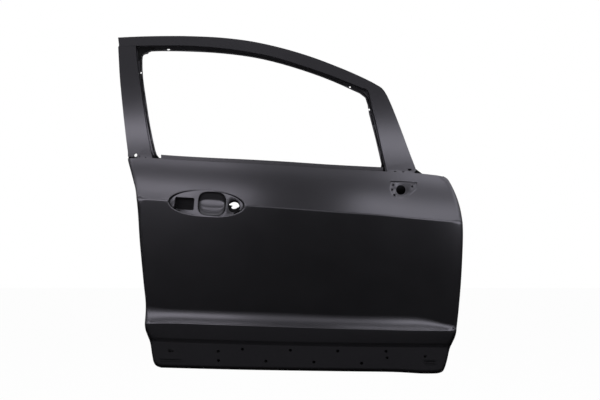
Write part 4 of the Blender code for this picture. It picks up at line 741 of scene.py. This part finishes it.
def piece(name, mesh, material, slot, nodes, sheet, angle=SHEET_ANGLE):
    """One sheet of the door, moved into the row frame, with its thickness away from its normals."""
    bmesh.ops.translate(mesh, vec=SHIFT, verts=mesh.verts)
    sharp = [e.is_boundary or e.is_wire or e.calc_face_angle(0) > math.radians(angle) for e in mesh.edges]
    data = mesh_data(name, mesh)
    data.materials.append(material)
    data.shade_smooth()
    data.edges.foreach_set("use_edge_sharp", sharp)
    item = new_object(name, data)
    solid = item.modifiers.new("sheet", "SOLIDIFY")
    solid.thickness = sheet
    solid.offset = -1
    solid.use_even_offset = True
    solid.use_quality_normals = True
    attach(item, "root")
    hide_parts(*nodes)
    return item


def dress(node, material, holes=None):
    """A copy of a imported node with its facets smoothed."""
    mesh = bmesh.new()
    mesh.from_mesh(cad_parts[node].data)
    bmesh.ops.remove_doubles(mesh, verts=mesh.verts, dist=WELD_DISTANCE)
    data = mesh_data(node + "_coated", mesh)
    if data.has_custom_normals:
        data.normals_split_custom_set([(0, 0, 0)] * len(data.loops))
    data.materials.clear()
    data.materials.append(material)
    data.shade_smooth()
    data.set_sharp_from_angle(angle=math.radians(NODE_ANGLE))
    item = new_object(data.name, data)
    if holes:
        pierce(item, holes)
    weighted = item.modifiers.new("weighted", "WEIGHTED_NORMAL")
    weighted.keep_sharp = True
    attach(item, "root")
    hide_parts(node)


def pierce(item, holes):
    """Cuts the hidden prisms out of a piece."""
    cut = item.modifiers.new("holes", "BOOLEAN")
    cut.operation = "DIFFERENCE"
    cut.solver = "EXACT"
    cut.object = holes


def cutter(name, table):
    """Prisms along Y through the side view for a table of holes, as one hidden object."""
    near, far = CUTTER_REACH
    mesh = bmesh.new()
    for px, py, depth, width, height in table:
        loop = ring_points(spot(px, py, depth), width / 2, height / 2, SMALL_HOLE_POINTS)
        low = [mesh.verts.new((x, near, z)) for x, z in loop]
        high = [mesh.verts.new((x, far, z)) for x, z in loop]
        mesh.faces.new(low)
        mesh.faces.new(high[::-1])
        for i in range(len(loop)):
            k = (i + 1) % len(loop)
            mesh.faces.new((low[i], high[i], high[k], low[k]))
    bmesh.ops.translate(mesh, vec=SHIFT, verts=mesh.verts)
    bmesh.ops.recalc_face_normals(mesh, faces=mesh.faces)
    item = new_object(name, mesh_data(name, mesh))
    item.hide_render = True
    item.hide_viewport = True
    return item


def handle_slot(grown, corner, arc):
    """Outline of the handle's rear slot, grown on all sides."""
    return rounded_slot(handle_point(HANDLE_SLOT_CENTRE, -SLOT_GROWTH / 2), HANDLE_SLOT_LENGTH + 2 * grown,
                        HANDLE_SLOT_HEIGHT + SLOT_GROWTH + 2 * grown, corner, HANDLE_TILT, arc)


def bore_ring(grown):
    """Outline of the handle's front bore, grown on all sides."""
    centre = handle_point(HANDLE_BORE_CENTRE + BORE_SHIFT[0], BORE_SHIFT[1])
    return circle(centre, HANDLE_BORE_RADIUS + grown, BORE_RING_POINTS)


def handle_loops():
    """Rings of the handle recess with rounded edges, from the skin round it to the bottom of the cup."""

    def ring(inset, share):
        return pressed(handle_ellipse(-HANDLE_RIM_END_FACTOR * inset, -inset), handle_pad_depth, share)

    rim = ring(0, 0.0)
    lines = [(ring(-HANDLE_GUARD, 0.0), True), (rim, True)]
    lines += [(ring(HANDLE_RIM_WIDTH * t, ease(t)), True) for t in HANDLE_RIM_STEPS]
    for width, height, rise, sunk in CUP_RINGS:
        loop = ring_points(handle_point(CUP_CENTRE, rise * CUP_HALF_HEIGHT), CUP_HALF_LENGTH * width,
                           CUP_HALF_HEIGHT * height, CUP_RING_POINTS, HANDLE_TILT, power=CUP_CORNER_POWER)
        lines.append((on_surface(loop, handle_pad_depth, CUP_DEPTH * sunk), True))
    lines.append((on_surface(bore_ring(BORE_GUARD), handle_pad_depth), True))
    holes = [on_surface(handle_slot(0.0, HANDLE_SLOT_CORNER, SLOT_ARC), handle_pad_depth),
             on_surface(bore_ring(0.0), handle_pad_depth, BORE_SUNK)]
    return lines, holes, [p[:2] for p in rim]


def mirror_loops():
    """Rings of the mirror seat and its bore, its holes, and the seat's outline."""
    seat = mirror_plane()
    rim = smooth(placed(MIRROR_SEAT_SHARES + MIRROR_SEAT_SHARES[:1]), MIRROR_RIM_PARTS)[-2::-1]
    lines = [(shifted(rim, -MIRROR_GUARD, closed=True), True), (rim, True)]
    for t in MIRROR_RIM_STEPS:
        lines.append((pressed(shifted(rim, MIRROR_RIM_WIDTH * t, closed=True), seat, ease(t)), True))
    for grown, sunk in MIRROR_BORE_RINGS:
        loop = circle(MIRROR_BORE_CENTRE, MIRROR_BORE_RADIUS + grown, MIRROR_BORE_POINTS)
        lines.append((on_surface(loop, seat, sunk), True))
    bore = circle(MIRROR_BORE_CENTRE, MIRROR_BORE_RADIUS, MIRROR_BORE_POINTS)
    screws = [circle(p, MIRROR_SCREW_RADIUS, SMALL_HOLE_POINTS) for p in placed(MIRROR_SCREW_SHARES)]
    holes = [on_surface(bore, seat, MIRROR_BORE_SUNK)] + [on_surface(screw, seat) for screw in screws]
    return lines, holes, rim


def build_handle_brace(material):
    """The ring behind the handle recess."""
    outer, window = (handle_ellipse(m, m) for m in (HANDLE_BRACE_MARGIN, HANDLE_BRACE_WINDOW_MARGIN))
    reach = HANDLE_HALF_LENGTH + HANDLE_BRACE_MARGIN * 2
    steps = HANDLE_BRACE_CREASE_STEPS
    columns = [HANDLE_CENTRE[0] + reach * k / steps for k in range(-steps, steps + 1)]
    crease = [(x, character(x)) for x in columns]
    seat = SKIN_SHEET + BRACKET_GAP
    mesh = sheet_mesh(outer, [window], [(crease, False)], lambda x, z: behind_skin(x, z, seat))
    piece("handle_brace", mesh, material, "e_coat", ["handle_reinforcement"], BRACE_SHEET)


def build_handle_pocket(material):
    """The closed pocket behind the handle's rear slot: a near-black sheet that paints the slot's shade."""
    pocket = bmesh.new()
    back = handle_pad_depth(*handle_point(HANDLE_SLOT_CENTRE, -SLOT_GROWTH / 2)) + POCKET_DEPTH
    rows = []
    for grown, corner, before in POCKET_RINGS:
        loop = handle_slot(grown, corner, SMALL_SLOT_ARC)
        if before is None:
            rows.append([(x, handle_pad_depth(x, z) + SKIN_SHEET + SEAM_GAP, z) for x, z in loop])
        else:
            rows.append([(x, back - before, z) for x, z in loop])
    made = loft(pocket, rows[::-1], closed=True)
    pocket.faces.new(made[0])
    bmesh.ops.recalc_face_normals(pocket, faces=pocket.faces)
    bmesh.ops.reverse_faces(pocket, faces=pocket.faces)
    piece("handle_shade_pocket", pocket, material, "e_coat", [], BRACE_SHEET)


def build_lock_plate(material):
    """The notched plate behind the handle's front bore, in the near-black coat that paints the shade inside
    the bore.
    """
    middle = handle_point(HANDLE_BORE_CENTRE, -LOCK_HOLE_DROP)
    notches = [(middle[0] + u / 1000, middle[1] + v / 1000) for u, v in LOCK_HOLE + LOCK_HOLE[:1]]
    bore = handle_point(HANDLE_BORE_CENTRE + BORE_SHIFT[0], BORE_SHIFT[1])
    seat = handle_pad_depth(*bore) + SKIN_SHEET + SEAM_GAP
    outer, inner = ([(x, z, seat + depth) for x, z in bore_ring(grown)] for grown, depth in LOCK_PLATE_RINGS)
    hole = smooth(notches, LOCK_HOLE_PARTS)[:-1]
    mesh = sheet_mesh(outer, [hole], [(inner, True)], lambda x, z: seat + LOCK_PLATE_DEPTH)
    piece("lock_plate", mesh, material, "e_coat", [], BRACE_SHEET)


def groove(start, end):
    """A short pressed groove across the cladding zone."""
    middle = ((start[0] + end[0]) / 2, (start[1] + end[1]) / 2)
    tilt = math.atan2(end[1] - start[1], end[0] - start[0])
    found = []
    for inset, sunk in GROOVE_STEPS:
        length, height = math.dist(start, end) - 2 * inset, GROOVE_HEIGHT - 2 * inset
        loop = rounded_slot(middle, length, height, height / GROOVE_ROUNDNESS, tilt, SMALL_SLOT_ARC)
        found.append((on_surface(loop, skin_depth, sunk), True))
    return found


def row_lines():
    """Heights of the skin's mesh rows as functions of x: close beside each crease and even between them."""
    rows = []

    def beside(line):
        rows.extend(lambda x, o=o: line(x) + o for o in ROW_OFFSETS[line])

    def between(low, high, count):
        low_gap, high_gap = max(ROW_OFFSETS[low]), -min(ROW_OFFSETS[high])
        for k in range(1, count):
            rows.append(lambda x, s=k / count: (low(x) + low_gap) * (1 - s) + (high(x) - high_gap) * s)

    beside(character)
    between(character, belt, 10)
    between(flare_top, character, 18)
    beside(flare_top)
    between(flare_crease, flare_top, 5)
    beside(flare_crease)
    between(step_top, flare_crease, 4)
    beside(step_top)
    beside(step_foot)
    between(sill, step_foot, 5)
    return rows


def skin_keep_out(mirror_rim):
    """Zones of the side view that the rows of the skin's mesh leave to the pressed details."""
    zones = [handle_ellipse(*HANDLE_KEEP_OUT, HANDLE_KEEP_OUT_POINTS),
             shifted(mirror_rim, -ROW_MARGIN, closed=True)]
    longer, height, corner = GROOVE_KEEP_OUT
    for (x0, z0), (x1, z1) in GROOVES:
        zones.append(rounded_slot(((x0 + x1) / 2, (z0 + z1) / 2), x1 - x0 + longer, height, corner))
    return zones


def build_skin(material):
    """The stamped skin with its creases, recesses, holes and hem."""
    hem_radius = SKIN_SHEET + HEM_SEAM_GAP + INNER_SHEET / 2
    edge = along_edge(skin_edge(), hem_radius)
    flange = along_edge(edge, FLANGE_WIDTH)
    top = [(x, belt(x)) for x in
           (edge[-1][0] + (edge[0][0] - edge[-1][0]) * i / SKIN_COLUMNS for i in range(1, SKIN_COLUMNS))]
    outline = [p[:2] for p in edge] + top
    handle_lines, handle_holes, handle_rim = handle_loops()
    mirror_lines, mirror_holes, mirror_rim = mirror_loops()
    keep_out = skin_keep_out(mirror_rim)
    border = [p[:2] for p in along_edge(edge, FLANGE_WIDTH + ROW_MARGIN)]
    border += [(x, z - BELT_ROW_MARGIN) for x, z in top]
    columns = [DOOR_LENGTH * (k + 1) / (SKIN_COLUMNS + 1) for k in range(SKIN_COLUMNS)]
    lines = [([p[:2] for p in flange], False)]
    for crease in CREASES:
        ends = [(e[:2], f[:2]) for e, f in zip(edge, flange) if e[2] is crease]
        if len(ends) != 2:
            continue
        (rear_edge, rear), (front_edge, front) = sorted(ends)
        body = [(x, crease(x)) for x in columns if rear[0] + ROW_MARGIN < x < front[0] - ROW_MARGIN]
        for run in broken([rear_edge, rear] + body + [front, front_edge], handle_rim):
            lines.append((run, False))
    for row in row_lines():
        run = []
        for x in columns + [None]:
            point = x and (x, row(x))
            if point and inside(point, border) and not any(inside(point, zone) for zone in keep_out):
                run.append(point)
                continue
            if len(run) > 1:
                lines.append((run, False))
            run = []
    lines += handle_lines + mirror_lines
    for ends in GROOVES:
        lines += groove(*ends)
    clips = [circle(p, CLIP_HOLE_RADIUS, SMALL_HOLE_POINTS) for p in placed(CLIP_HOLE_SHARES)]
    clips.append(rounded_slot(CLIP_SLOT_CENTRE, CLIP_SLOT_LENGTH, CLIP_SLOT_HEIGHT, CLIP_SLOT_CORNER,
                              arc=SMALL_SLOT_ARC))
    mesh = sheet_mesh(outline, handle_holes + mirror_holes + clips, lines, skin_depth)
    fold_hem(mesh, hem_radius, edge, flange)
    piece("skin_panel", mesh, material, "skin_e_coat", ["outer_panel"], SKIN_SHEET, SKIN_ANGLE)


def window_rim(distance, parts):
    """The sides and top of the window opening moved outwards, from its rear foot to its front foot."""
    side = smooth(placed(WINDOW_SHARES), parts)
    rear, front = side[0][0], side[-1][0]
    foot = [(x, belt(x) + BELT_EDGE_RISE) for x in
            (rear + (front - rear) * i / WINDOW_FOOT_PARTS for i in range(WINDOW_FOOT_PARTS + 1))]
    loop = shifted(foot + side[::-1][:-1] + [side[0]], -distance, closed=True)
    return loop[:-(len(side) + 1):-1]


def frame_half(name, outline, lines, material, node, cutters):
    """One outer half of the window frame, with its holes cut."""
    mesh = sheet_mesh(outline, [], lines, sash_depth)
    item = piece(name, mesh, material, "e_coat", [node], FRAME_SHEET, FRAME_ANGLE)
    for holes in cutters:
        pierce(item, holes)


def build_frame(material, *cutters):
    """Outer halves of the window frame: header with front pillar, and rear pillar."""
    n = FRAME_PARTS
    rim = window_rim(LIP_WIDTH + CHANNEL_DRAFT * 2 + FRAME_JOINT_GAP, n)

    def face(points):
        return on_surface(points, sash_depth)

    def floor(points):
        return on_surface(points, sash_depth, CHANNEL_DEPTH)

    def dropped(x, drop):
        return x, belt(x) - drop

    edge = smooth(placed(HEADER_EDGE_SHARES), n)[::-1]
    crest = shifted(edge, FRAME_RETURN_DRAFT)
    brow = smooth(placed(HEADER_FACE_SHARES), n)
    run = brow[n * HEADER_CHANNEL_START:]
    lean = (run[-1][0] - run[-3][0]) / (run[-3][1] - run[-1][1])
    run = run + [dropped(run[-1][0] + lean * (LEG_DROP + LEG_SHOULDER), LEG_DROP)]
    wall = shifted(run, -CHANNEL_DRAFT)
    inner = rim[n * HEADER_CHANNEL_FIRST:]
    inner = inner + [dropped(run[-1][0] - (run[-2][0] - inner[-1][0]) / 2, LEG_DROP)]
    shoulder = [dropped(edge[1][0], LEG_DROP), dropped(edge[1][0], -LEG_SHOULDER),
                dropped(edge[0][0] + FRAME_RETURN_DRAFT, -LEG_SHOULDER)]
    outline = on_surface(edge, sash_depth, FRAME_RETURN)
    outline += face([crest[-1]] + brow[:n * HEADER_CHANNEL_START + 1])
    outline += floor([wall[0]] + inner + [wall[-1]]) + face([run[-1]] + shoulder + [crest[0]])
    lines = [(face(crest), False), (face(run), False), (floor(wall), False)]
    frame_half("header_outer", outline, lines, material, "frame_header_outer", cutters)

    edge = smooth(placed(PILLAR_EDGE_SHARES), n)
    crest = shifted(edge, FRAME_RETURN_DRAFT)
    run = smooth(placed(PILLAR_FACE_SHARES), n)
    lean = (run[-1][0] - run[-3][0]) / (run[-3][1] - run[-1][1])
    run = run + [dropped(run[-1][0] + lean * (run[-1][1] - belt(run[-1][0]) + LEG_DROP), LEG_DROP)]
    wall = shifted(run[:-1], CHANNEL_DRAFT)
    inner = rim[:n * PILLAR_CHANNEL_END + 1]
    outline = on_surface(edge, sash_depth, FRAME_RETURN)
    notch = edge[-1][0] + FLANGE_WIDTH * LEG_NOTCH_FACTOR
    outline += face([crest[-1], dropped(edge[-1][0] + FRAME_RETURN_DRAFT * 2, -LEG_SHOULDER),
                     dropped(notch, -LEG_SHOULDER), dropped(notch, LEG_DROP)] + run[:-3:-1])
    outline += floor([wall[-1]] + inner + [wall[0]]) + face([run[0], crest[0]])
    lines = [(face(crest), False), (face(run[:-1]), False), (floor(wall), False)]
    frame_half("rear_pillar_outer", outline, lines, material, "frame_rear_pillar_outer", cutters)


def feed(tree, node, values):
    """Links each value that is a socket to the node, and sets each other value."""
    for key, value in values.items():
        if isinstance(value, bpy.types.NodeSocket):
            tree.links.new(value, node.inputs[key])
        elif key in node.inputs:
            node.inputs[key].default_value = value
        else:
            setattr(node, key, value)


def linked(tree, kind, **values):
    """A new shader node, fed with these values."""
    node = tree.nodes.new(kind)
    feed(tree, node, values)
    return node


def blank_material(name):
    """A new material, its node tree and its shader."""
    material = bpy.data.materials.new(name)
    material.use_nodes = True
    return material, material.node_tree, material.node_tree.nodes["Principled BSDF"]


def place_on_object(tree):
    """Coordinates in metres that stay with the piece."""
    return linked(tree, "ShaderNodeTexCoord").outputs["Object"]


def bumped(tree, height, strength, distance):
    """The normal of a surface with this relief."""
    bump = linked(tree, "ShaderNodeBump", Height=height, Strength=strength, Distance=distance)
    return bump.outputs["Normal"]


def ramp_between(tree, source, low, high):
    """A colour that goes from low to high with the source."""
    ramp = linked(tree, "ShaderNodeValToRGB", Fac=source)
    ramp.color_ramp.elements[0].color = (*low, 1)
    ramp.color_ramp.elements[1].color = (*high, 1)
    return ramp.outputs["Color"]


def mix_shaders(tree, share, first, second, output):
    """Mixes two shaders by a share and sends the result to the output."""
    mixed = linked(tree, "ShaderNodeMixShader", Fac=share)
    tree.links.new(first.outputs[0], mixed.inputs[1])
    tree.links.new(second.outputs[0], mixed.inputs[2])
    tree.links.new(mixed.outputs[0], output.inputs["Surface"])


def coat(name, dark, light, rough, peel, specular):
    """Electro-coated steel: two near-black tones that drift, orange peel, a sheen that varies, fine dust."""
    material, tree, shader = blank_material(name)
    where = place_on_object(tree)

    def noise(scale, detail, roughness):
        values = {"Vector": where, "Scale": scale, "Detail": detail, "Roughness": roughness}
        return linked(tree, "ShaderNodeTexNoise", **values).outputs["Fac"]

    def spread(source, low, high, to_low, to_high):
        ends = {"From Min": low, "From Max": high, "To Min": to_low, "To Max": to_high}
        return linked(tree, "ShaderNodeMapRange", Value=source, **ends).outputs["Result"]

    def mix(share, low, high):
        return linked(tree, "ShaderNodeMix", data_type="RGBA", Factor=share, A=low, B=high).outputs["Result"]

    tone = mix(spread(noise(5.0, 4.0, 0.5), 0.3, 0.7, 0.0, 1.0), (*dark, 1), (*light, 1))
    dusty = mix(spread(noise(620.0, 2.0, 0.7), 0.72, 0.82, 0.0, 0.16), tone, (*COAT_DUST, 1))
    sheen = spread(noise(11.0, 5.0, 0.6), 0.3, 0.7, rough - ROUGHNESS_DRIFT, rough + ROUGHNESS_DRIFT)
    feed(tree, shader, {
        "Base Color": dusty,
        "Roughness": sheen,
        "Specular IOR Level": specular,
        "Specular Tint": (*COAT_TINT, 1),
        "Normal": bumped(tree, noise(420.0, 2.0, 0.55), peel, 0.0004),
    })
    return material


def mastic_material():
    """Closed-cell foam of the pads behind the skin."""
    material, tree, shader = blank_material("mastic_foam")
    where = place_on_object(tree)
    cells = linked(tree, "ShaderNodeTexVoronoi", Vector=where, Scale=900.0).outputs["Distance"]
    feed(tree, shader, {
        "Base Color": ramp_between(tree, cells, (0.02, 0.02, 0.021), (0.055, 0.054, 0.052)),
        "Roughness": 0.85,
        "Normal": bumped(tree, cells, 0.5, 0.0006),
    })
    return material


def card_material(name, level):
    """Cloth of a card that only reflections show: its weave drifts a little round one grey."""
    material, tree, shader = blank_material(name)
    where = place_on_object(tree)
    weave = linked(tree, "ShaderNodeTexNoise", Vector=where, Scale=3.0, Detail=3.0).outputs["Fac"]
    feed(tree, shader, {
        "Base Color": (0.003, 0.003, 0.003, 1),
        "Specular IOR Level": 0.0,
        "Emission Strength": level,
        "Emission Color": ramp_between(tree, weave, (0.92, 0.91, 0.94), (1.0, 0.99, 1.0)),
    })
    return material


def floor_material():
    """A pale matt surface, most of which the camera sees as plain white."""
    material, tree, shader = blank_material("floor_white")
    feed(tree, shader, {"Base Color": (*FLOOR_COLOUR, 1), "Roughness": 0.9})
    glow = linked(tree, "ShaderNodeEmission", Color=(1, 1, 1, 1), Strength=1.0)
    path = linked(tree, "ShaderNodeLightPath")
    share = linked(tree, "ShaderNodeMath", operation="MULTIPLY")
    share.inputs[1].default_value = FLOOR_CAMERA_SHARE
    tree.links.new(path.outputs["Is Camera Ray"], share.inputs[0])
    mix_shaders(tree, share.outputs[0], shader, glow, tree.nodes["Material Output"])
    return material


def plane(name, x0, x1, low, high, material):
    """A flat card or floor between two edges along X, each given by its (y, z). It isn't part of the door."""
    corners = ((x0, *low), (x1, *low), (x1, *high), (x0, *high))
    data = bpy.data.meshes.new(name)
    data.from_pydata([tuple(Vector(c) + SHIFT) for c in corners], [], [(0, 1, 2, 3)])
    data.materials.append(material)
    item = new_object(name, data)
    return item


def area_light(name, at, aim_height, width, height, power, colour):
    """A softbox that the camera doesn't see."""
    data = bpy.data.lights.new(name, "AREA")
    data.shape = "RECTANGLE"
    data.size, data.size_y = width, height
    data.energy = power
    data.color = colour
    item = new_object(name, data)
    item.location = Vector(at) + SHIFT
    aim = Vector((at[0], 0.0, aim_height))
    item.rotation_euler = (aim - Vector(at)).to_track_quat("-Z", "Y").to_euler()
    item.visible_camera = False


def build_world():
    """A dim room whose walls the camera, reflections and transmission see as plain white."""
    world = bpy.data.worlds.new("studio")
    bpy.context.scene.world = world
    world.use_nodes = True
    tree = world.node_tree
    tree.nodes.clear()
    path = linked(tree, "ShaderNodeLightPath")
    seen = path.outputs["Is Camera Ray"]
    for ray in ("Is Glossy Ray", "Is Transmission Ray"):
        either = linked(tree, "ShaderNodeMath", operation="MAXIMUM")
        tree.links.new(seen, either.inputs[0])
        tree.links.new(path.outputs[ray], either.inputs[1])
        seen = either.outputs[0]
    plain = linked(tree, "ShaderNodeBackground", Color=(1, 1, 1, 1), Strength=ROOM_LEVEL)
    white = linked(tree, "ShaderNodeBackground", Color=(1, 1, 1, 1), Strength=1.0)
    mix_shaders(tree, seen, plain, white, linked(tree, "ShaderNodeOutputWorld"))


def build_studio():
    """World, floor, cards, lamps and camera."""
    build_world()
    plane("floor", *FLOOR, floor_material())
    for number, (*place, level) in enumerate(CARDS, 1):
        item = plane("card_%d" % number, *place, card_material("card_cloth_%d" % number, level))
        item.visible_camera = item.visible_diffuse = item.visible_shadow = item.visible_transmission = False
    for number, lamp in enumerate(LAMPS, 1):
        area_light("softbox_%d" % number, *lamp)
    data = bpy.data.cameras.new("camera")
    data.sensor_fit = "HORIZONTAL"
    data.angle = 2 * math.atan(VIEW_HALF_WIDTH / -CAMERA[1])
    camera = new_object("camera", data)
    camera.location = Vector(CAMERA) + SHIFT
    camera.rotation_euler = (math.pi / 2, 0, 0)
    bpy.context.scene.camera = camera
    bpy.context.scene.view_settings.view_transform = "Standard"


def main():
    """Builds every piece, then the studio."""
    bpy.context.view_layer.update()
    skin_coat, frame_coat, inner_coat, painted_shade_coat = (coat(name, *values) for name, values in COATS.items())
    mastic = mastic_material()
    holes, feet = cutter("through_holes", THROUGH_HOLES), cutter("foot_holes", FOOT_HOLES)
    build_skin(skin_coat)
    build_handle_brace(inner_coat)
    build_handle_pocket(painted_shade_coat)
    build_lock_plate(painted_shade_coat)
    build_frame(frame_coat, holes, feet)
    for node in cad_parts:
        if node in ("outer_panel", "frame_header_outer", "frame_rear_pillar_outer", "handle_reinforcement"):
            continue
        if node.startswith("mastic"):
            dress(node, mastic)
        # The gusset takes the near-black coat as painted shade in the window frame's corner
        elif node == "frame_corner_gusset":
            dress(node, painted_shade_coat)
        else:
            dress(node, inner_coat, holes=holes if node == "inner_panel" else None)
    build_studio()


main()
